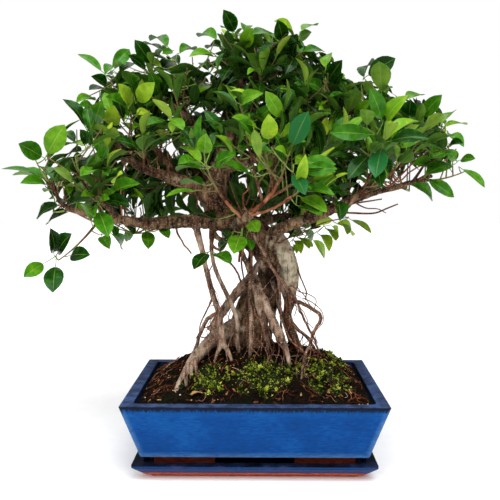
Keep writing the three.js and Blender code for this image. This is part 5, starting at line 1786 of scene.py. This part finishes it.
def leaves_seen(lines):
    """The leaves that the picture shows one by one, grown from the nearest shoot that can carry them."""
    sizes = bpy.context.scene.bonsai_leaves
    length_mm, width_mm = sizes.length / MM, sizes.width / MM
    _, right, up = view_axes()
    wood = wood_places(lines)
    # Any point of a green stem that isn't at the back can carry a leaf.
    carriers = []
    for name, (rows, stem_from) in lines.items():
        if not name.startswith("back"):
            carriers += [(name, place) for place in part_of(rows, stem_from, 1.0, 12)[:, :3]]
    places = np.array([place for _, place in carriers])
    spots = pixel(places)
    source = random.Random(3)
    leaves, stems = {}, {}
    hubs = []
    for tone, bx, by, tx, ty, width in [(tone, *row) for tone, rows in LEAVES_SEEN.items() for row in rows]:
        cost = np.hypot(spots[:, 0] - bx, spots[:, 1] - by) + NEARNESS * places[:, 1]
        name, carrier = carriers[int(cost.argmin())]
        broad = width >= BROAD_LEAF
        depth = carrier[1] - BROAD_LEAF_LEAD * broad
        base = seen(bx, by, depth)
        scale = (depth - CAMERA["place"][1]) / CAMERA["focal_px"]
        flat = (right * (tx - bx) - up * (ty - by)) * scale
        shown = float(np.linalg.norm(flat))
        full = max(length_mm * source.uniform(0.9, 1.08), shown * 1.02)
        full = min(full, shown * MOST_FORESHORTENED)
        toward = math.sqrt(max(full**2 - shown**2, 0.0))
        near = -1.0 if source.random() < TOWARD_EYE or broad else 1.0
        if ty < by and source.random() < 0.5 and not broad:
            near = -near
        reach = seen(tx, ty, depth + near * toward) - base
        full = float(np.linalg.norm(reach))
        direction = reach / full
        # Turned about its own axis until the blade looks as wide as it does in the picture.
        real_width = max(width_mm * full / length_mm, width * scale * 1.12)
        cover = min(1.0, width * scale * 1.1 / real_width)
        eye = unit(np.array(CAMERA["place"]) - base)
        face = unit(eye - direction * (eye @ direction))
        side = np.cross(direction, face)
        upward = 1.0 if (UP - direction * (UP @ direction)) @ side > 0 else -1.0
        toward_eye = -face if tone == "under" else face
        normal = toward_eye * math.cos(math.acos(cover)) + side * math.sin(math.acos(cover)) * upward
        value = TONES[tone] + source.uniform(-0.07, 0.07)
        kind = source.choice([0, 1, 2, 3] if cover > 0.5 else [0, 1]) * (not broad)
        leaves.setdefault(name, []).append(Leaf(base, direction, normal, full, real_width, value, kind))
        hub = next((h for h in hubs if h[0] == name and np.linalg.norm(h[1] - base) < HUB_REACH), None)
        if hub is None:
            hubs.append((name, base))
            start = wood[int(np.linalg.norm(wood - base, axis=1).argmin())]
            stems.setdefault(name, []).append(bowed(start, base, 2.0, 1.0, 0.55, 7))
        else:
            stems.setdefault(name, []).append(bowed(hub[1], base, 0.5, 0.65, 0.5, 4))
    return leaves, stems


# From a stem's start to its end: how far its leaves lean out, how they rise, how full-grown they are in
# length and width, and their tone.
SPIRAL = {
    "lean": (1.25, 0.35), "rise": (-0.15, 0.15), "length": (0.98, 0.8), "width": (0.9, 0.7),
    "tone": (0.06, 0.58),
}
CROWN_MIDDLE = 380.0


def leaves_along(stem, count, source, sizes, painted_shade=0.0):
    """Leaves in a spiral round a stem, the youngest at its end. Older leaves are darker, and painted shade
    darkens them further inside the foliage.
    """
    found = []
    phase = source.uniform(0, math.tau)
    for i in range(count):
        share = mix(0.12, 1.0, i / (count - 1))
        at = share * (len(stem) - 1)
        low = min(int(at), len(stem) - 2)
        base = mix(stem[low, :3], stem[low + 1, :3], at - low)
        ahead = unit(stem[low + 1, :3] - stem[low, :3])
        side = unit(np.cross(ahead, UP + np.array([0.01, 0.02, 0])))
        up = np.cross(side, ahead)
        turn = phase + i * GOLDEN_ANGLE
        out = side * math.cos(turn) + up * math.sin(turn)
        lean = mix(*SPIRAL["lean"], share) + source.uniform(-0.15, 0.15)
        direction = ahead * math.cos(lean) + out * math.sin(lean)
        direction = unit(direction + UP * mix(*SPIRAL["rise"], share))
        outward = unit(np.array([base[0], base[1], (base[2] - CROWN_MIDDLE) * 0.6]))
        normal = UP * 0.75 + outward * 0.55 + ahead * 0.25
        normal = normal + np.array([source.gauss(0, 0.28) for _ in range(3)])
        length = sizes.length / MM * mix(*SPIRAL["length"], share) * source.uniform(0.78, 1.1)
        width = sizes.width / MM * mix(*SPIRAL["width"], share) * source.uniform(0.8, 1.06)
        tone = mix(*SPIRAL["tone"], share**1.6) + source.gauss(0, 0.12)
        # Now and then the youngest leaf is fresh and yellow.
        if share > 0.85 and source.random() < 0.35:
            tone += 0.28
        tone = min(max(tone - painted_shade, 0.0), 1.0)
        found.append(Leaf(base, direction, normal, length, width, tone, source.randrange(len(BLADES))))
    return found


def kept_in(line, anchors):
    """The line without its end beyond the outline of the foliage, as far back as nothing grows from it."""
    count = len(line)
    while count > 3 and not inside_outline(*pixel(line[count - 1, :3])):
        if np.linalg.norm(anchors - line[count - 1, :3], axis=1).min() < ANCHOR_REACH:
            break
        count -= 1
    return line[:count]


def random_shoot(rows, stem_from, source, sizes):
    """The main stem and side stems of one shoot, each with its leaves in a spiral round it."""
    main = with_radius(part_of(rows, stem_from, 1.0, 12), STEM["base_radius"], STEM["tip_radius"])
    stems = [main]
    # Side stems leave the green stem and the young end of the twig that carries it.
    whole = part_of(rows, max(0.2, stem_from - SIDE_STEM["set_back"]), 0.92, 25)
    for k in range(sizes.side_stems):
        at = int(k / sizes.side_stems * (len(whole) - 2))
        ahead = unit(whole[at + 1, :3] - whole[at, :3])
        turn = source.uniform(0, math.tau)
        side = unit(np.cross(ahead, UP))
        up = np.cross(side, ahead)
        heading = unit(ahead * 0.5 + side * math.cos(turn) * 0.9 + up * math.sin(turn) * 0.9 + UP * 0.25)
        length = source.uniform(SIDE_STEM["shortest"], SIDE_STEM["longest"])
        end = whole[at, :3] + heading * length + UP * SIDE_STEM["rise"]
        stems.append(bowed(whole[at, :3], end, 3.0, 1.1, 0.7, 8))
    counts = [sizes.leaves_per_stem + 2] + [sizes.leaves_per_stem] * sizes.side_stems
    return [(stem, leaves_along(stem, count, source, sizes)) for stem, count in zip(stems, counts)]


def inner_stems(lines, source, sizes):
    """Short leafy stems behind the boughs, spread evenly over the outline, each of the nearest shoot."""
    wood = wood_places(lines)
    names = list(lines)
    tips = np.array([lines[name][0][-1, :3] for name in names])
    grown = []
    for py in range(0, PICTURE, INNER["step"]):
        for px in range(0, PICTURE, INNER["step"]):
            x = px + source.uniform(-INNER["wobble"], INNER["wobble"])
            y = py + source.uniform(-INNER["wobble"], INNER["wobble"])
            depth = source.uniform(INNER["near"], INNER["far"])
            if not inside_outline(x, y):
                continue
            spot = seen(x, y, depth)
            gaps = np.linalg.norm(wood - spot, axis=1)
            if gaps.min() > INNER["longest"]:
                continue
            name = names[int(np.linalg.norm(tips - spot, axis=1).argmin())]
            stem = bowed(wood[int(gaps.argmin())], spot, 2.0, 1.1, 0.7, 8)
            leafy = part_of(stem, 0.35, 1.0, 8)
            grown.append(
                (name, stem, leaves_along(leafy, sizes.leaves_per_stem, source, sizes, INNER["painted_shade"]))
            )
    return grown


# Around a leaf that shows one by one: pixels that others keep clear, and mm that they stay behind it.
FRONT_LEAF_REACH = 9
FRONT_LEAF_LEAD = 8
HOLLOW_SHADE = 0.25


class Crown:
    """The leaves placed so far, which tells if one more leaf can be added."""

    def __init__(self, seen_leaves):
        self.middles = [leaf.middle for leaf in seen_leaves]
        self.front = np.array([[*pixel(leaf.middle), leaf.middle[1]] for leaf in seen_leaves])
        self.low = np.array(CAD_BOX[0]) / MM - BOX_MARGIN
        self.high = np.array(CAD_BOX[1]) / MM + BOX_MARGIN

    def takes(self, leaf):
        """True if the leaf keeps inside the outline, clear of other leaves, and off the leaves and the wood
        that show in front."""
        tip_x, tip_y = pixel(leaf.tip)
        mid_x, mid_y = pixel(leaf.middle)
        if not (inside_outline(tip_x, tip_y) and inside_outline(mid_x, mid_y)):
            return False
        if (leaf.tip < self.low).any() or (leaf.tip > self.high).any():
            return False
        if in_sky_gap(mid_x, mid_y, 5.0) or in_sky_gap(tip_x, tip_y, 0.0):
            return False
        if np.abs(np.array(self.middles) - leaf.middle).max(axis=1).min() < LEAF_CLEARANCE:
            return False
        in_window = any(a < mid_x < c and b < mid_y < d for a, b, c, d in CLEAR_WINDOWS)
        if in_window and leaf.middle[1] < INNER["near"]:
            return False
        near = np.hypot(self.front[:, 0] - mid_x, self.front[:, 1] - mid_y) < FRONT_LEAF_REACH
        if (near & (leaf.middle[1] < self.front[:, 2] + FRONT_LEAF_LEAD)).any():
            return False
        if any(math.hypot(mid_x - x, mid_y - y) < radius for x, y, radius in SHADED_HOLLOWS):
            leaf.tone = max(0.0, leaf.tone - HOLLOW_SHADE)
        self.middles.append(leaf.middle)
        return True


def all_shoots():
    """For each shoot its stem lines and its leaves."""
    sizes = bpy.context.scene.bonsai_leaves
    source = random.Random(sizes.seed)
    lines = shoot_lines()
    seen_leaves, seen_stems = leaves_seen(lines)
    crown = Crown([leaf for leaves in seen_leaves.values() for leaf in leaves])
    shoots, trimmed = {}, {}
    for name, (rows, stem_from) in lines.items():
        stems, leaves = [], list(seen_leaves.get(name, []))
        for k, (stem, found) in enumerate(random_shoot(rows, stem_from, source, sizes)):
            kept = [leaf for leaf in found if crown.takes(leaf)]
            leaves.extend(kept)
            if kept or k == 0:
                stems.append(stem)
        shoots[name] = (stems, leaves)
        trimmed[name] = len(stems)
        stems.extend(seen_stems.get(name, []))
    for name, stem, found in inner_stems(lines, source, sizes):
        kept = [leaf for leaf in found if crown.takes(leaf)]
        if kept:
            shoots[name][0].append(stem)
            shoots[name][1].extend(kept)
    starts = [stem[0, :3] for stems, _ in shoots.values() for stem in stems]
    anchors = np.array(starts + [leaf.base for _, leaves in shoots.values() for leaf in leaves])
    for name, (stems, _) in shoots.items():
        stems[: trimmed[name]] = [kept_in(stem, anchors) for stem in stems[: trimmed[name]]]
    return shoots


OLD_STEM = 34.0


def shoot_mesh(stems, leaves):
    """The points that the shoot's tree reads: stem lines, and one loose point for each leaf."""
    # A long stem is an older one, and has turned to wood.
    spans = [float(np.linalg.norm(rows[-1, :3] - rows[0, :3])) for rows in stems]
    lines = [(rows, {"woody": 0.85 if span > OLD_STEM else 0.3}) for rows, span in zip(stems, spans)]
    # Each leaf is a line of one point.
    lines += [(np.array([[*leaf.base, 0.0]]), {"woody": 0.0}) for leaf in leaves]
    mesh = lines_mesh("Shoot lines", lines)
    stem_points = len(mesh.vertices) - len(leaves)
    size = [(leaf.width * MM, leaf.length * MM, leaf.length * MM) for leaf in leaves]
    turn = [leaf.turn() for leaf in leaves]
    for name, kind, empty, values in (
        ("leaf", "FLOAT", 0.0, [1.0] * len(leaves)),
        ("tone", "FLOAT", 0.0, [leaf.tone for leaf in leaves]),
        ("kind", "INT", 0, [leaf.kind for leaf in leaves]),
        ("turn", "FLOAT_VECTOR", (0, 0, 0), turn),
        ("size", "FLOAT_VECTOR", (0, 0, 0), size),
    ):
        set_attribute(mesh, name, [empty] * stem_points + values, kind)
    return mesh


# ---------------------------------------------------------------- add-on: settings, operators and panel


class PotterySettings(bpy.types.PropertyGroup):
    rounding: FloatProperty(
        name="Edge rounding", description="Radius of the pottery's edges", default=0.0016, unit="LENGTH",
    )
    glaze: FloatVectorProperty(
        name="Glaze", description="Main colour of the glaze", default=linear("#023f82")[:3], subtype="COLOR",
    )
    glaze_deep: FloatVectorProperty(
        name="Deep glaze", description="Where the glaze is thin", default=linear("#03356f")[:3],
        subtype="COLOR",
    )
    glaze_light: FloatVectorProperty(
        name="Light glaze", description="Where the glaze pooled", default=linear("#10589e")[:3],
        subtype="COLOR",
    )


class SoilSettings(bpy.types.PropertyGroup):
    step: FloatProperty(
        name="Relief step", description="Spacing of the surface points", default=0.0022, unit="LENGTH",
    )
    crumbs: FloatProperty(name="Crumbs", description="Crumbs on each square metre", default=62000.0)
    chips: FloatProperty(name="Bark chips", description="Chips on each square metre", default=7000.0)
    grit: FloatProperty(
        name="Grit", description="Perlite grains and pellets on each square metre", default=2400.0,
    )
    fibres: IntProperty(name="Rootlets", description="Dead rootlets on the soil", default=330)
    seed: IntProperty(name="Seed", description="Changes where the bits lie", default=4)


class MossSettings(bpy.types.PropertyGroup):
    tufts: FloatProperty(name="Tufts", description="Tufts on each square metre", default=190000.0)
    height: FloatProperty(name="Tuft height", description="Height of a tuft", default=0.0025, unit="LENGTH")
    sprigs: FloatProperty(name="Sprigs", description="Taller weeds on each square metre", default=7000.0)
    seed: IntProperty(name="Seed", description="Changes where the tufts stand", default=6)


class WoodSettings(bpy.types.PropertyGroup):
    skin_grain: FloatProperty(
        name="Skin grain", description="Size of the cells of the wood's skin", default=0.0018, unit="LENGTH",
    )
    ridges: FloatProperty(
        name="Ridge height", description="Height of the upright ridges on thick wood", default=0.011,
        unit="LENGTH",
    )
    bark: FloatProperty(
        name="Bark height", description="Height of the bark's grain", default=0.0022, unit="LENGTH",
    )
    relief: FloatProperty(
        name="Bark relief", description="Strength of the finest relief", default=0.8, subtype="FACTOR",
    )


class LeafSettings(bpy.types.PropertyGroup):
    length: FloatProperty(name="Leaf length", description="With its stalk", default=0.056, unit="LENGTH")
    width: FloatProperty(
        name="Leaf width", description="Of a full-grown blade", default=0.0208, unit="LENGTH",
    )
    side_stems: IntProperty(name="Side stems", description="On each shoot", default=5, min=0, max=8)
    leaves_per_stem: IntProperty(name="Leaves", description="On each stem", default=6, min=2, max=12)
    seed: IntProperty(name="Seed", description="Changes how the leaves lie", default=12)


class StudioSettings(bpy.types.PropertyGroup):
    key: FloatProperty(
        name="Key light", description="Strength of the large soft light on the right", default=2.7,
    )
    fill: FloatProperty(
        name="Fill light", description="Strength of the soft light on the left", default=1.9,
    )
    back: FloatProperty(name="Back light", description="Strength of the soft light behind", default=0.6)
    front: FloatProperty(
        name="Front light", description="Strength of the low light behind the camera", default=0.6,
    )
    sky: FloatProperty(name="Surround", description="Light that comes from all round", default=0.18)
    mirrored: FloatProperty(
        name="Mirrored surround", description="How bright it looks in the glaze", default=0.12,
    )


# For each fired piece: the height of its rim in mm, then in metres the fringe under the rim, the glaze line
# and the top of the painted shade on the clay foot, the colours of its level tops, which are painted light,
# and whether its sides slope.
GLAZE = {
    "pot": (POT["rim"], 0.006, 0.0298, 0.0266, ["#1d2740", "#2c3c5e", "#3b5079", "#275088"], True),
    "saucer": (SAUCER_HEIGHT, 0.0012, 0.0092, 0.0, ["#05070e", "#0a0f1e", "#101a31", "#13335c"], False),
}


class BONSAI_OT_pottery(bpy.types.Operator):
    """Rounds and glazes the pot and its saucer"""

    bl_idname = "bonsai.pottery"
    bl_label = "Pot and saucer"

    def execute(self, context):
        rounding = context.scene.bonsai_pottery.rounding
        for name, (rim, *rest) in GLAZE.items():
            glaze = glaze_material(f"Cobalt glaze on terracotta, {name}", rim * MM, *rest)
            hand_over(fired_piece(name, f"glazed_{name}", rounding, glaze), name)
        return {"FINISHED"}


class BONSAI_OT_screens(bpy.types.Operator):
    """Gives the drain screens their plastic"""

    bl_idname = "bonsai.screens"
    bl_label = "Drain screens"

    def execute(self, context):
        plastic = screen_material()
        for side in ("left", "right"):
            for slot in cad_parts[f"drain_screen_{side}"].material_slots:
                slot.material = plastic
        return {"FINISHED"}


# Bits strewn on the soil: their finish with its colours and roughness, the seed and the stretch of their
# shapes, and how large they are in metres and how far they tilt.
BITS = {
    "soil_crumbs": {
        "finish": (
            "Soil crumbs", [(0.15, "#050403"), (0.5, "#0e0a07"), (0.72, "#1e130b"), (0.9, "#452b19")], 0.9,
        ),
        "shape": (0, (1.0, 1.0, 0.7)), "spread": {"Smallest": 0.0009, "Largest": 0.003, "Tilt": 1.0},
    },
    "bark_chips": {
        "finish": (
            "Bark chips",
            [(0.15, "#0f0906"), (0.45, "#26150c"), (0.62, "#4d2b19"), (0.74, "#8a5a38"), (0.88, "#b39a5e")],
            0.8,
        ),
        "shape": (20, (2.2, 0.9, 0.35)), "spread": {"Smallest": 0.0018, "Largest": 0.005, "Tilt": 0.35},
    },
    "grit_and_pellets": {
        "finish": (
            "Perlite and feed pellets",
            [(0.25, "#d9d5ca"), (0.4, "#a58f5e"), (0.6, "#74752f"), (0.78, "#a9654c")], 0.9,
        ),
        "shape": (60, (1.0, 1.0, 0.9)), "spread": {"Smallest": 0.0009, "Largest": 0.0034, "Tilt": 1.0},
    },
}
# Nothing is strewn this near to the pot's wall, in mm.
BARE_BORDER = 4.0
ROOTLET_COLOURS = [(0.2, "#2a130b"), (0.5, "#5e2d1a"), (0.72, "#8a4f32"), (0.88, "#c9bba6")]
DEAD_LEAF_COLOURS = [(0.2, "#2e1a10"), (0.5, "#6b4326"), (0.75, "#b98d58")]


class BONSAI_OT_soil(bpy.types.Operator):
    """Fills the pot with soil and strews crumbs and bark chips on it"""

    bl_idname = "bonsai.soil"
    bl_label = "Soil"

    def execute(self, context):
        sizes = context.scene.bonsai_soil
        corners, faces, top_count = soil_surface(sizes.step / MM)
        mesh = new_mesh("root_ball", corners, faces)
        x, y = corners[:, 0] / MM, corners[:, 1] / MM
        open_soil = np.where(moss_cover(x, y) > 0.5, 0.0, 1.0)
        open_soil[top_count:] = 0.0
        half_x, half_y = cavity_half_size(SOIL["edge"], SOIL_GAP + BARE_BORDER)
        open_soil[(np.abs(x) > half_x) | (np.abs(y) > half_y)] = 0.0
        set_attribute(mesh, "scatter", open_soil)
        ball = new_object("root_ball", mesh)
        ball.data.materials.append(soil_material())
        smooth_faces(ball)
        scatter = scatter_tree("Strewn bits")
        per_metre = {"soil_crumbs": sizes.crumbs, "bark_chips": sizes.chips, "grit_and_pellets": sizes.grit}
        pieces = [ball]
        for i, (name, bit) in enumerate(BITS.items()):
            first, stretch = bit["shape"]
            pebbles = [pebble(f"{name} {k}", first + k, stretch) for k in range(4)]
            values = {
                **bit["spread"], "Shapes": shape_collection(name, pebbles),
                "Per square metre": per_metre[name], "Seed": sizes.seed + i,
                "Material": scrap_material(*bit["finish"]),
            }
            pieces.append(grow(name, mesh.copy(), scatter, values))
        fibre = scrap_material("Dead rootlets", ROOTLET_COLOURS, 0.85)
        threads = lines_mesh("Rootlets", fibre_lines(sizes.fibres, sizes.seed))
        pieces.append(grow("dead_rootlets", threads, sweep_tree(), {"Sides": 5, "Material": fibre}))
        pieces.append(fallen_leaves(scrap_material("Dead leaf", DEAD_LEAF_COLOURS, 0.7)))
        for piece in pieces:
            hand_over(piece, "soil")
        return {"FINISHED"}


class BONSAI_OT_moss(bpy.types.Operator):
    """Grows the moss cushions on the soil"""

    bl_idname = "bonsai.moss"
    bl_label = "Moss"

    def execute(self, context):
        sizes = context.scene.bonsai_moss
        green = moss_material()
        tufts = shape_collection("Tufts", [moss_tuft(f"Tuft {i}", 40 + i, 6, 0.17) for i in range(4)])
        sprigs = shape_collection("Sprigs", [moss_tuft(f"Sprig {i}", 50 + i, 9, 0.22) for i in range(3)])
        # What grows on a cushion: its shapes, how many, how small and large in tufts, its tilt and seed.
        growth = {
            "Tufts": (tufts, sizes.tufts, 0.45, 1.35, 0.5, 0),
            "Sprigs": (sprigs, sizes.sprigs, 1.3, 3.2, 0.3, 20),
        }
        scatter = scatter_tree("Tufts on a cushion")
        for i, place in enumerate(MOSS):
            dome = moss_dome(place)
            grown = []
            for name, (shapes, count, smallest, largest, tilt, seed) in growth.items():
                values = {
                    "Shapes": shapes, "Per square metre": count, "Smallest": sizes.height * smallest,
                    "Largest": sizes.height * largest, "Tilt": tilt, "Seed": sizes.seed + seed + i,
                    "Material": green,
                }
                grown.append(grow(f"{name} {place}", dome.copy(), scatter, values))
            cushion = new_object(f"Cushion {place}", dome)
            dome.materials.append(green)
            # Under its tufts the cushion takes the painted shade of their bases.
            set_attribute(dome, "tint", np.full(len(dome.vertices), 0.3))
            set_attribute(dome, "tip", np.full(len(dome.vertices), 0.1))
            smooth_faces(cushion)
            hand_over(joined(f"moss_cushion_{place}", [cushion, *grown]), f"moss_{place}")
        return {"FINISHED"}


class BONSAI_OT_wood(bpy.types.Operator):
    """Grows the trunk, the boughs, the twigs and the roots"""

    bl_idname = "bonsai.wood"
    bl_label = "Wood"

    def execute(self, context):
        bark = bark_material()
        hand_over(thick_wood(bark), "wood")
        hand_over(thin_wood(bark), "wood")
        return {"FINISHED"}


class BONSAI_OT_shoots(bpy.types.Operator):
    """Grows the leafy shoots"""

    bl_idname = "bonsai.shoots"
    bl_label = "Leafy shoots"

    def execute(self, context):
        tree = shoot_tree()
        values = {
            "Stem sides": 6, "Leaf size": 1.0, "Leaves": shape_collection("Blades", leaf_shapes()),
            "Stem material": stem_material(), "Leaf material": leaf_material(),
        }
        for name, (stems, leaves) in all_shoots().items():
            piece = grow(f"leafy_shoot_{name}", shoot_mesh(stems, leaves), tree, values)
            hand_over(piece, f"shoot_{name}")
        return {"FINISHED"}


FLOOR_SIZE = 14.0


class BONSAI_OT_studio(bpy.types.Operator):
    """Sets up the floor, the lights and the camera"""

    bl_idname = "bonsai.studio"
    bl_label = "Studio"

    def execute(self, context):
        scene = context.scene
        sizes = scene.bonsai_studio
        half = FLOOR_SIZE / 2
        corners = [(-half, -half, 0), (half, -half, 0), (half, half, 0), (-half, half, 0)]
        floor = new_object("Floor", new_mesh("Floor", corners, [(0, 1, 2, 3)]))
        floor.data.materials.append(floor_material())
        # Each light: which way it shines, how wide it looks in degrees, and its strength.
        lights = {
            "Key": ((-0.34, 0.5, -0.9), 44, sizes.key), "Fill": ((0.55, 0.45, -0.8), 60, sizes.fill),
            "Back": ((0.1, -0.5, -0.85), 60, sizes.back), "Front": ((0.05, 1.0, -0.2), 60, sizes.front),
        }
        for name, (heading, spread, strength) in lights.items():
            light = bpy.data.lights.new(name, "SUN")
            light.angle = math.radians(spread)
            light.energy = strength
            stand = new_object(name, light)
            stand.location = -Vector(heading) * 2
            stand.rotation_euler = Vector(heading).to_track_quat("-Z", "Y").to_euler()
        # The surround looks white, but lights the tree less than it looks, and shows little in the glaze.
        world = bpy.data.worlds.new("White surround")
        world.use_nodes = True
        sky = world.node_tree.nodes["Background"]
        rays = add(world.node_tree, "LightPath").outputs
        mirrored = {0: rays["Is Glossy Ray"], 3: sizes.sky, 4: sizes.mirrored}
        lit = add(world.node_tree, "MapRange", mirrored)
        shine = add(world.node_tree, "MapRange", {0: rays["Is Camera Ray"], 3: lit, 4: 1.0})
        fill(world.node_tree, sky, {"Color": "#ffffff", "Strength": shine})
        scene.world = world
        camera = bpy.data.cameras.new("Camera")
        camera.sensor_width = SENSOR_WIDTH
        camera.lens = CAMERA["focal_px"] * SENSOR_WIDTH / PICTURE
        camera.clip_end = 50.0
        eye = new_object("Camera", camera)
        eye.location = [c * MM for c in CAMERA["place"]]
        eye.rotation_euler = (math.pi / 2 - CAMERA["pitch"], 0.0, -CAMERA["yaw"])
        scene.camera = eye
        scene.view_settings.view_transform = "Standard"
        return {"FINISHED"}


class BONSAI_PT_panel(bpy.types.Panel):
    """Lists the parts of the bonsai"""

    bl_idname = "BONSAI_PT_panel"
    bl_label = "Potted fig bonsai"
    bl_space_type = "VIEW_3D"
    bl_region_type = "UI"
    bl_category = "Bonsai"

    def draw(self, context):
        for operator in OPERATORS:
            self.layout.operator(operator.bl_idname)
        for key, group in SETTINGS.items():
            box = self.layout.box()
            for name in group.__annotations__:
                box.prop(getattr(context.scene, key), name)


SETTINGS = {
    "bonsai_pottery": PotterySettings, "bonsai_soil": SoilSettings, "bonsai_moss": MossSettings,
    "bonsai_wood": WoodSettings, "bonsai_leaves": LeafSettings, "bonsai_studio": StudioSettings,
}
OPERATORS = [
    BONSAI_OT_studio, BONSAI_OT_pottery, BONSAI_OT_screens, BONSAI_OT_soil, BONSAI_OT_moss, BONSAI_OT_wood,
    BONSAI_OT_shoots,
]


def register():
    for entry in [*SETTINGS.values(), *OPERATORS, BONSAI_PT_panel]:
        bpy.utils.register_class(entry)
    for key, group in SETTINGS.items():
        setattr(bpy.types.Scene, key, PointerProperty(type=group))


def unregister():
    for key in SETTINGS:
        delattr(bpy.types.Scene, key)
    for entry in [BONSAI_PT_panel, *reversed(OPERATORS), *reversed(SETTINGS.values())]:
        bpy.utils.unregister_class(entry)


def main():
    register()
    for operator in OPERATORS:
        group, name = operator.bl_idname.split(".")
        getattr(getattr(bpy.ops, group), name)()
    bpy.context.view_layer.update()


if __name__ == "__main__":
    main()
